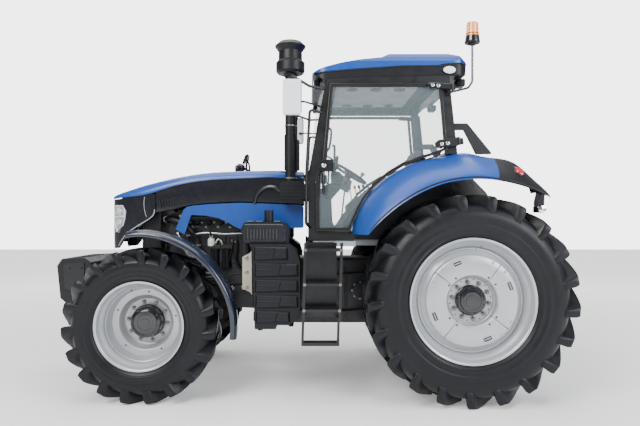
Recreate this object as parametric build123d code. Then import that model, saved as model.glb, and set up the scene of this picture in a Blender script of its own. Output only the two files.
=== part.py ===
from build123d import *
import math
import os

os.makedirs("parts", exist_ok=True)

# Farm tractor, four-wheel drive, about 190 kW class. Millimetres, +X forward, +Y to the tractor's left, +Z up.
# All X values below are counted from the rear axle; XO moves the whole model so that its box is centred on the origin.
XO, ZO = -1503.7, 22.0

# ---- driving dimensions
WB = 2959.0          # wheelbase
RR, RF = 918.0, 678.0    # axle heights over the datum; the ground is ZO below it
TR, TF = RR + 22.0, RF + 22.0   # tyre radii
YR, YF = 970.0, 890.0    # tyre centre planes
WR, WF = 530.0, 440.0    # tyre widths
KP = 640.0           # kingpin plane, from the centre line
CAB = 830.0          # cab half width at the door plane
FEN_IN, FEN_OUT = 852.0, 1235.0   # rear fender, inner top edge and outer lip planes
HOOD_W = 425.0       # hood half width at the rear

PARTS = {}


def add(name, *solids):
    got = []
    for s in solids:
        got += list(s.solids())
    PARTS[name] = got


def join(name, *solids):
    """Fuse into the piece of that name, which may already have been started."""
    base = PARTS.get(name, [])
    whole = None
    for q in list(base) + list(solids):
        whole = q if whole is None else whole + q
    PARTS[name] = list(whole.solids())


def trim(name, *others):
    """Cut one piece back to the faces of its neighbours."""
    got = []
    for q in PARTS[name]:
        for o in others:
            for c in PARTS[o]:
                q = q - c
        got += list(q.solids())
    PARTS[name] = [g for g in got if g.volume > 400]


def prism(pts, y0, y1):
    """Side outline (x, z), extruded from plane y0 to y1."""
    f = Face(Wire.make_polygon([Vector(x, y0, z) for x, z in pts], close=True))
    return extrude(f, amount=abs(y1 - y0), dir=(0, 1 if y1 > y0 else -1, 0))


def plan(pts, z0, z1):
    f = Face(Wire.make_polygon([Vector(x, y, z0) for x, y in pts], close=True))
    return extrude(f, amount=z1 - z0, dir=(0, 0, 1))


def across(pts, x0, x1):
    """Front outline (y, z), extruded along X."""
    f = Face(Wire.make_polygon([Vector(x0, y, z) for y, z in pts], close=True))
    return extrude(f, amount=x1 - x0, dir=(1, 0, 0))


def box(x0, x1, y0, y1, z0, z1):
    return Pos((x0 + x1) / 2, (y0 + y1) / 2, (z0 + z1) / 2) * Box(abs(x1 - x0), abs(y1 - y0), abs(z1 - z0))


def rbox(x0, x1, y0, y1, z0, z1, r, which=None):
    b = box(x0, x1, y0, y1, z0, z1)
    edges = b.edges() if which is None else b.edges().filter_by(which)
    return fillet(edges, r)


def cyl(p0, p1, r):
    a, b = Vector(*p0), Vector(*p1)
    return Plane(origin=(a + b) * 0.5, z_dir=(b - a).normalized()) * Cylinder(r, (b - a).length)


def rev_y(pts, cx, cz, side=1):
    """Profile (radius, y) turned about the Y axis through (cx, cz)."""
    f = Face(Wire.make_polygon([Vector(r, y * side, 0) for r, y in pts], close=True))
    return Pos(cx, 0, cz) * revolve(f, Axis.Y, 360)


def rev_z(pts, cx, cy):
    f = Face(Wire.make_polygon([Vector(r, 0, z) for r, z in pts], close=True))
    return Pos(cx, cy, 0) * revolve(f, Axis.Z, 360)


def tube(pts, r, bend, ri=None):
    """Round bar or pipe along straight runs joined by arcs."""
    path = FilletPolyline(*pts, radius=bend) if len(pts) > 2 else Line(*pts)
    start = Plane(origin=path @ 0, z_dir=path % 0)
    sec = start * Circle(r)
    if ri:
        sec = sec - start * Circle(ri)
    return sweep(sec, path=path)


def mir(s):
    return mirror(s, about=Plane.XZ)


def pts_interp(table, x):
    t = sorted(table)
    if x <= t[0][0]:
        return t[0][1]
    for (a, p), (b, q) in zip(t, t[1:]):
        if x <= b:
            return p + (q - p) * (x - a) / (b - a)
    return t[-1][1]


# ================= wheels =================
def tyre(R, W, rb, fl, yb, yc, t=28):
    h = W / 2
    out = [(rb, -yb), (fl + 5, -yb), (fl + 26, -yb - 16), (rb + 0.30 * (R - rb), -h * 0.97), (rb + 0.48 * (R - rb), -h), (rb + 0.72 * (R - rb), -h * 0.985),
           (R - 40, -h * 0.955), (R - 14, -h * 0.90), (R - 6, -h * 0.50), (R, 0)]
    full = out + [(r, -y) for r, y in reversed(out[:-1])]
    inner = [(rb, yb - t), (fl + 20, yb - t + 2), (rb + 0.34 * (R - rb), h - t), (rb + 0.6 * (R - rb), h - t), (R - 34 - t, h * 0.86 - t), (R - 22 - t * 1.6, 0)]
    inn = inner + [(r, -y) for r, y in reversed(inner[:-1])]
    return [(r, y + yc) for r, y in full + inn]


def wheel_set(tag, side, x, z, R, W, rb, yb, yc, fl_r, fl_y, disc_y, disc_r, hub):
    add(f"{tag}_tyre", rev_y(tyre(R, W, rb, fl_r, fl_y - 11, yc), x, z, side))
    t = 9.0
    o = yc + fl_y
    i = yc - fl_y
    # rim barrel: outer flange, bead seat, drop well, inner bead seat, inner flange
    rim = [(fl_r, o), (fl_r, o - 10), (rb - 1, o - 10), (rb - 1, o - 52), (rb - 30, o - 75), (rb - 62, o - 95), (rb - 62, i + 95),
           (rb - 30, i + 75), (rb - 1, i + 52), (rb - 1, i + 10), (fl_r, i + 10), (fl_r, i),
           (rb - 1 - t, i), (rb - 1 - t, i + 50), (rb - 62 - t, i + 98), (rb - 62 - t, o - 98), (rb - 1 - t, o - 50), (rb - 1 - t, o)]
    barrel = rev_y(rim, x, z, side)
    disc = rev_y(disc_r, x, z, side)
    add(f"{tag}_rim", barrel + disc + hub)


for side, s in (("left", 1), ("right", -1)):
    # rear wheel: 42 inch rim, disc near the outer flange
    rb = 533.0
    dy = 1108.0
    disc = [(rb - 68, dy - 30), (rb - 68, dy - 18), (440, dy - 18), (400, dy), (210, dy + 4), (195, dy - 16), (95, dy - 16), (95, dy - 32), (205, dy - 32), (222, dy - 12), (392, dy - 14), (432, dy - 32)]
    hub = rev_y([(0, 560), (55, 560), (55, 742), (120, 742), (150, 760), (150, 900), (120, 1000), (120, 1060), (168, 1066), (168, dy - 32),
                 (95, dy - 32), (95, 1140), (80, 1160), (40, 1166), (0, 1166)], 0, RR, s)
    hub += rev_y([(212, dy + 1), (392, dy - 1), (408, dy + 12), (408, dy + 48), (395, dy + 58), (300, dy + 66), (225, dy + 62), (212, dy + 50)], 0, RR, s)
    wheel_set(f"rear_wheel_{side}", s, 0, RR, TR, WR, rb, 226.0, YR, 559.0, 240.0, dy, disc, hub)
    # ring weight on the rear disc
    # front wheel: 30 inch rim, deep dish
    rb = 381.0
    dy = 762.0
    disc = [(rb - 68, 842), (rb - 68, 852), (262, 846), (250, 838), (236, dy + 22), (218, dy + 4), (110, dy), (110, dy - 14), (222, dy - 12), (246, dy + 8), (262, 832)]
    hub = rev_y([(62.1, 705), (120, 705), (130, 716), (130, dy - 13), (110, dy - 13), (110, dy), (122, dy + 2), (122, 858), (112, 876), (90, 882), (0, 882),
                 (0, 748), (62.1, 748)], WB, RF, s)
    wheel_set(f"front_wheel_{side}", s, WB, RF, TF, WF, rb, 186.0, YF, 406.0, 200.0, dy, disc, hub)

# ================= driveline and frame =================
# rear axle housing: centre case and two trumpets, bored for the axle shafts
rah = rbox(-330, 330, -270, 270, 640, 1230, 40, Axis.Y)
for s in (1, -1):
    rah += rev_y([(0, 0), (190, 0), (190, 300), (150, 380), (130, 640), (165, 660), (165, 735), (0, 735)], 0, RR, s)
for s in (1, -1):
    rah -= cyl((0, s * 550, RR), (0, s * 760, RR), 55.3)
add("rear_axle_housing", rah)

trans = prism([(1980, 1080), (1980, 620), (1700, 560), (335, 560), (335, 1180), (900, 1240), (1700, 1240)], -225, 225)
trans = fillet(trans.edges().filter_by(Axis.X), 30)
join("transmission_case", trans)

eng = prism([(2880, 1000), (2700, 960), (1985, 960), (1985, 1700), (2700, 1740), (2880, 1700)], -245, 245)
join("engine_block", fillet(eng.edges().filter_by(Axis.X), 35))
pan = prism([(2690, 960), (2640, 850), (2350, 720), (1985, 700), (1985, 960)], -150, 150)
join("engine_block", fillet(pan.edges().filter_by(Axis.X), 25))

fr = prism([(3560, 1060), (3560, 760), (3300, 720), (2560, 730), (2400, 800), (2200, 900), (1990, 900), (1990, 955), (2700, 956), (2900, 990), (3200, 1060)], -210, -160)
fr2 = mir(fr)
cross = box(3440, 3560, -160, 160, 790, 1050)
# bearing blocks and the lengthwise pin that the front axle hangs on
for x0, x1 in ((2730, 2805), (3113, 3188)):
    cross += box(x0, x1, -160, 160, 735, 880)
cross += cyl((2735, 0, 790), (3183, 0, 790), 60)
join("front_frame", fr, fr2, cross, rbox(3560, 3632, -190, 190, 800, 1040, 12, Axis.X))
add("radiator", rbox(2960, 3135, -308, 308, 1065, 1800, 14))

# front axle beam with forks for the kingpins
beam = rbox(WB - 85, WB + 85, -420, 420, 610, 715, 26, Axis.Y)
beam += cyl((WB - 145, 0, 790), (WB + 145, 0, 790), 104)
beam += box(WB - 140, WB + 140, -104, 104, 640, 790)
beam -= cyl((WB - 200, 0, 790), (WB + 200, 0, 790), 60.2)
for s in (1, -1):
    fork = prism([(WB - 95, 520), (WB + 95, 520), (WB + 95, 860), (WB - 95, 860)], s * 400, s * 470)
    up = box(WB - 65, WB + 65, s * 465, s * 690, 818, 860)
    lo = box(WB - 65, WB + 65, s * 465, s * 690, 496, 538)
    fork = fork + up + lo
    fork -= cyl((WB, s * KP, 480), (WB, s * KP, 880), 32.1)
    beam += fork
add("front_axle", beam)

# knuckles: body between the forks, pins up and down, spindle out to the hub, arm for the fender
for side, s in (("left", 1), ("right", -1)):
    k = rbox(WB - 85, WB + 85, s * 560, s * 690, 546, 804, 18)
    k += cyl((WB, s * KP, 490), (WB, s * KP, 862), 32)
    k += cyl((WB, s * KP, 862), (WB, s * KP, 876), 44)
    k += cyl((WB, s * KP, 474), (WB, s * KP, 490), 46)
    k += cyl((WB, s * 680, RF), (WB, s * 700, RF), 110)
    k += cyl((WB, s * 690, RF), (WB, s * 742, RF), 61.9)
    # track-rod arm behind the kingpin
    k += prism([(WB - 80, 600), (WB - 235, 600), (WB - 235, 640), (WB - 80, 660)], s * 565, s * 625)
    join(f"knuckle_{side}", k)
    # bracket: post up from the knuckle to the fender over the tyre
    b = tube([(WB - 70, s * 628, 700), (WB - 150, s * 628, 780), (WB - 150, s * 628, 1405), (WB - 150, s * 800, 1455)], 22, 60)
    b += tube([(WB - 150, s * 628, 1000), (WB - 620, s * 640, 1080), (WB - 720, s * 780, 1085)], 18, 50)
    join(f"knuckle_{side}", b)
    # front fender: arc over and behind the tyre, with a rolled lip outside
    def arc_pt(a, r):
        return WB - r * math.cos(math.radians(a)), RF + r * math.sin(math.radians(a))

    secs = []
    # angle from straight behind, inner and outer plane, radius
    for a, yi, yo, r in ((-8, 930, 1085, 858), (8, 870, 1100, 858), (24, 830, 1112, 853), (42, 800, 1120, 846), (60, 785, 1122, 843), (80, 780, 1122, 846), (98, 785, 1105, 838)):
        c, q = math.cos(math.radians(a)), math.sin(math.radians(a))

        def at(rr, y):
            return Vector(WB - rr * c, s * y, RF + rr * q)
        out = [at(r - 40, yo), at(r - 6, yo - 4), at(r + 12, yo - 34), at(r + 18, (yi + yo) / 2), at(r + 6, yi)]
        inn = [at(r, yi), at(r + 11, (yi + yo) / 2), at(r + 5, yo - 38), at(r - 10, yo - 11), at(r - 40, yo - 7)]
        secs.append(Face(Wire([Spline(*out), Line(out[-1], inn[0]), Spline(*inn), Line(inn[-1], out[0])])))
    add(f"front_fender_{side}", loft(secs))

# ================= ballast =================
bal = prism([(3635, 1205), (3635, 850), (3700, 770), (3860, 770), (3945, 845), (3978, 1170), (3930, 1240), (3700, 1250)], -420, 420)
bal = fillet(bal.edges().filter_by(Axis.Y), 18)
add("front_ballast", bal)

# ================= hood =================
TOP = [(1490, 2130), (1700, 2137), (2150, 2136), (2465, 2120), (2673, 2094), (2880, 2053), (3088, 2004), (3250, 1956), (3395, 1912), (3470, 1886)]
SHO = [(1490, 2052), (1700, 2056), (2133, 2051), (2436, 2035), (2637, 2010), (2789, 1980), (2890, 1948), (3041, 1902), (3142, 1880), (3395, 1856), (3470, 1848)]
WID = [(1490, 425), (2100, 427), (2600, 420), (2900, 406), (3100, 388), (3220, 366), (3340, 334), (3425, 292), (3470, 238)]
secs = []
for x in (1490, 1700, 2100, 2450, 2750, 2980, 3150, 3290, 3400, 3470):
    w, zt, zs = pts_interp(WID, x), pts_interp(TOP, x), pts_interp(SHO, x)
    d = zt - zs
    half = [(w, zs), (w * 0.955, zs + 0.55 * d), (w * 0.80, zs + 0.90 * d), (w * 0.45, zt + 4), (0, zt + 8)]
    t = 8
    inner = [(w - t, zs), (w * 0.955 - t, zs + 0.55 * d - 4), (w * 0.80 - 4, zs + 0.90 * d - t), (w * 0.45, zt + 4 - t), (0, zt + 8 - t)]
    o = [Vector(x, y, z) for y, z in half] + [Vector(x, -y, z) for y, z in reversed(half[:-1])]
    i = [Vector(x, y, z) for y, z in inner] + [Vector(x, -y, z) for y, z in reversed(inner[:-1])]
    i.reverse()
    secs.append(Face(Wire([Spline(*o), Line(o[-1], i[0]), Spline(*i), Line(i[-1], o[0])])))
hood_shell = loft(secs)
# the filled form of the same hood, to cut its inner ribs to shape
secs = []
for x in (1490, 1700, 2100, 2450, 2750, 2980, 3150, 3290, 3400, 3470):
    w, zt, zs = pts_interp(WID, x), pts_interp(TOP, x), pts_interp(SHO, x)
    d = zt - zs
    half = [(w - 4, zs), (w * 0.955 - 4, zs + 0.55 * d - 2), (w * 0.80 - 2, zs + 0.90 * d - 4), (w * 0.45, zt), (0, zt + 4)]
    o = [Vector(x, y, z) for y, z in half] + [Vector(x, -y, z) for y, z in reversed(half[:-1])]
    low_z = zs - 60
    secs.append(Face(Wire([Spline(*o), Line(o[-1], Vector(x, -half[0][0], low_z)), Line(Vector(x, -half[0][0], low_z), Vector(x, half[0][0], low_z)), Line(Vector(x, half[0][0], low_z), o[0])])))
fill = loft(secs)
ribs = None
for s in (1, -1):
    r = prism([(1525, 2000), (1525, 2200), (3380, 2200), (3380, 1830), (2900, 1900), (2400, 1985)], s * 322, s * 334) & fill
    ribs = r if ribs is None else ribs + r
for x in (1560, 2300, 3000):
    ribs += box(x, x + 12, -330, 330, pts_interp(SHO, x) - 20, 2250) & fill
# the hinge tube along the rear edge
for s in (1, -1):
    ribs += prism([(1490, 2126), (1488, 2092), (1500, 2088), (1512, 2090), (1530, 2104), (1530, 2126)], s * 250, s * 290) & box(1400, 1600, -400, 400, 2000, 2124)
    ribs -= cyl((1500, s * 240, 2100), (1500, s * 300, 2100), 6.1)
join("hood_top", hood_shell, ribs)

# black upper side band, one each side, under the shoulder
def side_band(zlo, zhi, off, t, xs):
    secs = []
    for x in xs:
        w = pts_interp(WID, x) + off
        a, b = pts_interp(zlo, x), pts_interp(zhi, x)
        m = (a + b) / 2
        o = [Vector(x, w, a), Vector(x, w + 3, m), Vector(x, w, b)]
        i = [Vector(x, w - t, b), Vector(x, w - t + 3, m), Vector(x, w - t, a)]
        secs.append(Face(Wire([Spline(*o), Line(o[-1], i[0]), Spline(*i), Line(i[-1], o[0])])))
    return loft(secs, ruled=True)


up = side_band([(1490, 1794), (2132, 1820), (2434, 1805), (2605, 1791), (2720, 1764), (2990, 1710)], [(x, z - 1) for x, z in SHO], -4, 8, (1490, 1800, 2132, 2290, 2436, 2540, 2637, 2720, 2789, 2890, 2985))
add("hood_sides", up, mir(up))
# blue engine side panel with the brace that runs down at its front
lowp = prism([(1497, 1551), (2132, 1541), (2190, 1568), (2253, 1607), (2353, 1652), (2484, 1677), (2625, 1682), (2696, 1486), (2786, 1541), (2735, 1660), (2706, 1735), (2670, 1765), (2605, 1778), (2434, 1793), (2132, 1806), (1497, 1784)], 380, 440)
lowp = lowp & plan([(1400, 412), (2132, 412), (2600, 406), (2800, 392), (2800, 406), (2600, 420), (2132, 427), (1400, 426)], 1400, 1900)
add("engine_side_panels", lowp, mir(lowp))

# nose: wrapped shell, cut for grille and lamps
def nose_plan(off, x_back):
    pts = [(x_back, 404 - off), (2990, 399 - off), (3100, 386 - off), (3220, 364 - off), (3340, 332 - off), (3423 - off * 0.3, 288 - off * 0.9), (3466 - off * 0.7, 228 - off * 0.7), (3490 - off * 0.9, 120), (3498 - off, 0)]
    return pts + [(x, -y) for x, y in reversed(pts[:-1])]


def nose_solid(off, x_back, z0, z1):
    pts = nose_plan(off, x_back)
    spl = Spline(*[Vector(x, y, z0) for x, y in pts])
    w = Wire([spl, Line(spl @ 1, spl @ 0)])
    return extrude(Face(w), amount=z1 - z0, dir=(0, 0, 1))


side_cut = prism([(3520, 1838), (3500, 1700), (3478, 1500), (3460, 1337), (3380, 1345), (3290, 1480), (3180, 1565), (3060, 1632), (2992, 1703), (2992, 1740), (2992, 1893), (3041, 1893), (3142, 1872), (3300, 1856)], -450, 450)
shell = (nose_solid(0, 2950, 1300, 1900) - nose_solid(14, 2930, 1290, 1910)) & side_cut
lamp_zone = prism([(3540, 1786), (3540, 1500), (3392, 1500), (3345, 1560), (3318, 1640), (3305, 1722), (3345, 1786)], -450, 450)
lamp_zone -= box(3200, 3560, -205, 205, 1400, 1900)
grille_zone = box(3350, 3560, -185, 185, 1400, 1790)
lamps = shell & lamp_zone
nose = shell - lamp_zone - grille_zone
join("hood_nose", nose)
lam = list(lamps.solids())
add("headlights", *lam)
gr = box(3452, 3464, -192, 192, 1396, 1794)
for k in range(7):
    z = 1426 + k * 52
    gr += box(3460, 3474, -184, 184, z, z + 12)
join("hood_nose", gr)
# lamp and round mirror on the right shoulder of the hood
lm = cyl((2225, -330, 2215), (2275, -330, 2215), 42) + cyl((2150, -330, 2215), (2228, -330, 2215), 12) + cyl((2150, -330, 2120), (2150, -330, 2290), 12)
lm += cyl((2178, -330, 2318), (2158, -330, 2310), 48)
join("hood_top", lm)
trim("hood_sides", "hood_top")
trim("hood_nose", "hood_top", "hood_sides")

# ================= stacks =================
def stack(s):
    pipe = cyl((1622, s * 505, 1990), (1622, s * 505, 3052), 52) - cyl((1622, s * 505, 2005), (1622, s * 505, 3060), 48)
    return pipe


boot = rbox(1500, 1725, 436, 566, 1800, 2018, 50, Axis.Y)
boot -= cyl((1622, 505, 1988), (1622, 505, 2030), 52)
boot += box(1440, 1505, 480, 560, 1850, 1990)
join("intake_stack", boot, stack(1))
pc = rev_z([(0, 3052), (60, 3052), (75, 3075), (125, 3082), (142, 3104), (142, 3190), (118, 3214), (116, 3300), (150, 3345), (153, 3356), (110, 3395), (50, 3415), (0, 3420)], 1622, 505)
join("intake_stack", pc)
gd = (cyl((1622, 505, 2125), (1622, 505, 2475), 60) - cyl((1622, 505, 2100), (1622, 505, 2500), 53)) & box(1560, 1700, 505, 580, 2100, 2500)
gd += prism([(1580, 2120), (1530, 2120), (1530, 2412), (1560, 2440), (1580, 2450)], 500, 512)
join("intake_stack", gd)
ex = (cyl((1622, -505, 1900), (1622, -505, 2880), 50) - cyl((1622, -505, 1920), (1622, -505, 2900), 46))
ex -= prism([(1540, 2800), (1540, 2950), (1720, 2950), (1720, 2890)], -600, -400)
join("exhaust_stack", ex)
mf = rbox(1500, 1735, -572, -436, 1810, 1988, 50, Axis.Y)
mf -= cyl((1622, -505, 1890), (1622, -505, 2030), 50)
mf += box(1440, 1505, -560, -480, 1850, 1970)
join("exhaust_stack", mf)

# ================= cab =================
# door outline (x, z)
DOOR = [(1372, 1529), (1062, 1529), (985, 1700), (921, 1828), (828, 1945), (687, 2060), (547, 2144), (405, 2202), (246, 2252), (150, 2292), (204, 2900), (1238, 2900), (1304, 2200), (1372, 2060)]
frame_pts = []
A = [(1446, 1440), (1446, 2055), (1418, 2195), (1334, 2665), (1280, 2920), (1234, 2920), (1238, 2906), (1306, 2200), (1378, 2060), (1378, 1440)]
post_a = prism(A, 765, CAB)
C = [(143, 2252), (197, 2906), (197, 2930), (118, 2930), (45, 2252)]
post_c = prism(C, 735, CAB)
sill = prism([(1378, 1440), (1378, 1523), (1070, 1523), (1056, 1498), (1010, 1498), (1010, 1440)], 765, CAB)
rail = prism([(1280, 2906), (1285, 2950), (118, 2990), (118, 2906)], 735, CAB)
left = post_a + sill + rail + post_c
frame = left + mir(left)
frame += box(118, 197, -740, 740, 2906, 2975)
frame += box(1215, 1285, -770, 770, 2906, 2946)
frame += box(45, 105, -740, 740, 2252, 2292)
frame += box(1400, 1446, -765, 765, 1440, 1500)
join("cab_frame", frame)
add("cab_floor", rbox(60, 1398, -632, 632, 1385, 1436, 6) + box(1000, 1398, -820, 820, 1385, 1436))
fw = box(1404, 1424, -762, 762, 1502, 2137) + box(1420, 1432, -320, 320, 1990, 2085)
add("cab_walls", fw)
rw = prism([(60, 1440), (45, 2236), (70, 2236), (85, 1440)], -632, 632)
add("cab_walls", fw, rw)

# inner wheel-house walls: arc above, floor below
def house(s):
    p = [(60, 1442), (995, 1442)]
    r = 1300
    for a in (30, 36, 42, 48, 54, 60, 66, 72, 78, 84, 87.2):
        p.append((r * math.cos(math.radians(a)), RR + r * math.sin(math.radians(a))))
    return prism(p, s * 636, s * 648)


for s in (1, -1):
    # forked lug on the cab front that holds each hood hinge pin
    lug = prism([(1424, 2044), (1450, 2044), (1512, 2086), (1512, 2108), (1496, 2108), (1470, 2090), (1424, 2066)], s * 294, s * 306)
    lug += prism([(1424, 2044), (1450, 2044), (1512, 2086), (1512, 2108), (1496, 2108), (1470, 2090), (1424, 2066)], s * 234, s * 246)
    lug += cyl((1500, s * 234, 2100), (1500, s * 306, 2100), 6)
    fw += lug
add("cab_walls", fw, rw, house(1), house(-1))

# windscreen: bowed forward between the front posts
def bowed(x_mid, x_edge, z, w, t):
    o = ThreePointArc(Vector(x_edge, -w, z), Vector(x_mid, 0, z), Vector(x_edge, w, z))
    i = ThreePointArc(Vector(x_edge - t, w, z), Vector(x_mid - t, 0, z), Vector(x_edge - t, -w, z))
    return Face(Wire([o, Line(o @ 1, i @ 0), i, Line(i @ 1, o @ 0)]))


ws = loft([bowed(1456, 1418, 2142, 757, 6), bowed(1450, 1410, 2200, 757, 6), bowed(1376, 1318, 2700, 757, 6), bowed(1344, 1284, 2898, 757, 6)])
add("cab_windows", ws)
rgl = prism([(52, 2294), (114, 2900), (120, 2900), (58, 2294)], -728, 728)
add("cab_windows", ws, rgl)

# roof: black base with the head rail, blue cap in two layers
def round_plan(x0, x1, w, r, z0, z1):
    return fillet(box(x0, x1, -w, w, z0, z1).edges().filter_by(Axis.Z), r)


base_side = prism([(1395, 3018), (1290, 2952), (1240, 2952), (190, 2993), (20, 2993), (-50, 3010), (-62, 3098), (20, 3110), (150, 3100), (220, 3085), (560, 3082), (1045, 3049), (1340, 3022)], -850, 850)
base = base_side & round_plan(-70, 1400, 800, 120, 2900, 3200)
base -= box(330, 1180, -520, 520, 2940, 3030)
join("roof_base", base)
cap_side = prism([(1408, 3034), (1333, 3062), (1144, 3112), (955, 3147), (784, 3166), (600, 3178), (151, 3186), (9, 3165), (-62, 3125), (-66, 3104), (20, 3115), (150, 3105), (222, 3090), (562, 3087), (1047, 3054), (1345, 3027)], -850, 850)
cap = cap_side & round_plan(-78, 1412, 812, 150, 2950, 3300)
crown = across([(-812, 3000), (-812, 3130), (-792, 3172), (-700, 3208), (-400, 3226), (0, 3234), (400, 3226), (700, 3208), (792, 3172), (812, 3130), (812, 3000)], -100, 1450)
cap = cap & crown
upper = prism([(820, 3140), (640, 3234), (151, 3226), (10, 3194), (-60, 3140), (100, 3120)], -770, 770) & round_plan(-66, 825, 770, 120, 3050, 3300)
upper &= across([(-770, 3000), (-770, 3170), (-735, 3216), (-600, 3232), (-300, 3238), (300, 3238), (600, 3232), (735, 3216), (770, 3170), (770, 3000)], -100, 1450)
join("roof_cap", cap, upper)
lampz = rbox(-66, -6, 560, 700, 2920, 2990, 14)
lz2 = rbox(1335, 1388, 560, 690, 2908, 2985, 14)
add("work_lamps", lampz, mir(lampz), lz2, mir(lz2), rbox(-700, -640, 880, 1010, 1700, 1760, 8), rbox(-700, -640, -1010, -880, 1700, 1760, 8))

# beacon on a bent tube from the rear left post
BY = 842
bt = tube([(132, BY, 2822), (-52, BY, 2868), (-90, BY, 2925), (-90, BY, 3290)], 11, 40)
bt += box(112, 150, 830, 856, 2795, 2845)
bc = rev_z([(0, 3285), (68, 3285), (70, 3300), (60, 3366), (0, 3366)], -90, BY)
add("beacon", bt + bc + rev_z([(0, 3360), (56, 3360), (52, 3470), (40, 3480), (0, 3482)], -90, BY))

# mirrors on two arms
for side, s in (("left", 1), ("right", -1)):
    arm = tube([(1280, s * 815, 2862), (1430, s * 900, 2870), (1590, s * 985, 2945)], 13, 30)
    arm += cyl((1590, s * 985, 2900), (1590, s * 985, 2950), 16)
    arm2 = tube([(1300, s * 818, 2690), (1480, s * 960, 2715), (1560, s * 960, 2715)], 9, 30) + cyl((1550, s * 955, 2715), (1550, s * 980, 2715), 14)
    join("mirror_arms", arm, arm2)
    join("mirrors", rbox(1508, 1674, s * 976, s * 1020, 2584, 2912, 20))
trim("mirrors", "mirror_arms")
trim("mirror_arms", "cab_frame")
for side, s in (("left", 1), ("right", -1)):

# grab rails in front of the front posts
    g = tube([(1322, s * 825, 2640), (1430, s * 880, 2660), (1462, s * 880, 2050), (1466, s * 880, 1600), (1425, s * 820, 1560)], 13, 34)
    join("grab_rails", g)
trim("grab_rails", "cab_frame", "mirror_arms")

# ================= interior =================
add("seat_base", rbox(330, 700, -230, 230, 1442, 1700, 20))
add("seat_cushion", rbox(300, 760, -255, 255, 1706, 1820, 35))
bk = prism([(330, 1826), (440, 1826), (330, 2360), (240, 2360)], -240, 240)
add("seat_backrest", fillet(bk.edges(), 25))
col = prism([(1180, 1442), (1385, 1442), (1385, 1900), (1240, 2020), (1090, 2020), (1110, 1950), (1200, 1850)], -150, 150)
join("dashboard", fillet(col.edges().filter_by(Axis.Y), 20))
# steering wheel, tilted: hub axis leans back
SWX, SWZ, SWT = 1000.0, 2135.0, 32.0
ax = Vector(-math.sin(math.radians(SWT)), 0, math.cos(math.radians(SWT)))
swp = Plane(origin=(SWX, 0, SWZ), x_dir=(math.cos(math.radians(SWT)), 0, math.sin(math.radians(SWT))), z_dir=(ax.X, ax.Y, ax.Z))
rimw = Torus(200, 15)
spokes = Cylinder(42, 30) + Box(380, 26, 12) + Box(26, 380, 12)
add("steering_wheel", swp * (rimw + spokes))
c0 = Vector(SWX, 0, SWZ) - ax * 17
c1 = Vector(SWX, 0, SWZ) - ax * 190
join("dashboard", cyl(tuple(c0), tuple(c1), 34))
add("side_console", fillet(prism([(330, 1442), (1000, 1442), (1010, 1800), (900, 1900), (420, 1960), (330, 1900)], -600, -350).edges().filter_by(Axis.Y), 25))

# ================= doors =================
HY = 882.0   # plane of the door hinge pins, outside the door skin
for s in (1, -1):
    H0, H1 = Vector(40, s * HY, 2330), Vector(110, s * HY, 2900)
    hd_ = (H1 - H0).normalized()
    for t0, t1 in ((12, 62), (508, 558)):
        a, b = H0 + hd_ * (t0 - 12), H0 + hd_ * (t1 + 12)
        pin = cyl(tuple(a), tuple(b), 6) + cyl(tuple(a), tuple(H0 + hd_ * (t0 - 2)), 12) + cyl(tuple(H0 + hd_ * (t1 + 2)), tuple(b), 12)
        m0, m1 = a.X, b.X
        for q in (H0 + hd_ * (t0 - 7), H0 + hd_ * (t1 + 7)):
            pin += box(q.X - 2, q.X + 40 if t0 > 100 else q.X + 22, s * 828, s * (HY - 2), q.Z - 4, q.Z + 4) + box(q.X - 12, q.X + 12, s * 860, s * (HY), q.Z - 4, q.Z + 4)
        join("cab_frame", pin)
for side, s in (("left", 1), ("right", -1)):
    y0, y1 = CAB + 6, CAB + 34
    outer = prism(DOOR, s * y0, s * y1)
    f = Face(Wire.make_polygon([Vector(x, 0, z) for x, z in DOOR], close=True))
    inner_w = offset(f, -22).faces()[0]
    hole = extrude(Pos(0, s * (y0 - 5), 0) * inner_w, amount=60, dir=(0, s, 0))
    gl_f = offset(f, -19).faces()[0]
    df = outer - hole
    # rebate for the glass
    slot = extrude(Pos(0, s * (y0 + 10), 0) * gl_f, amount=8, dir=(0, s, 0))
    df -= slot
    # hinge leaves, and the lock box with its handle at the front
    H0, H1 = Vector(40, s * HY, 2330), Vector(110, s * HY, 2900)
    hd_ = (H1 - H0).normalized()
    for t0, t1, leaf in ((12, 62, [(35, 2350), (230, 2330), (232, 2372), (60, 2384)]), (508, 558, [(106, 2842), (300, 2858), (300, 2890), (180, 2880), (112, 2878)])):
        a, b = H0 + hd_ * t0, H0 + hd_ * t1
        lf = prism(leaf, s * (y1 - 3), s * (y1 + 9))
        brl = cyl(tuple(a), tuple(b), 13)
        df += lf + brl
        df -= cyl(tuple(a - hd_ * 5), tuple(b + hd_ * 5), 6.1)
    join(f"door_{side}", df)
    gl_f2 = offset(f, -20).faces()[0]
    gl = extrude(Pos(0, s * (y0 + 11), 0) * gl_f2, amount=6, dir=(0, s, 0))
    add(f"door_{side}_glass", gl)
    hd = rbox(1215, 1330, s * (y0 + 20), s * (y1 + 34), 2085, 2185, 10)
    hd += box(1290, 1318, s * (y1 + 6), s * (y1 + 30), 1880, 2090)
    hd -= slot
    join(f"door_{side}", hd)

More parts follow.
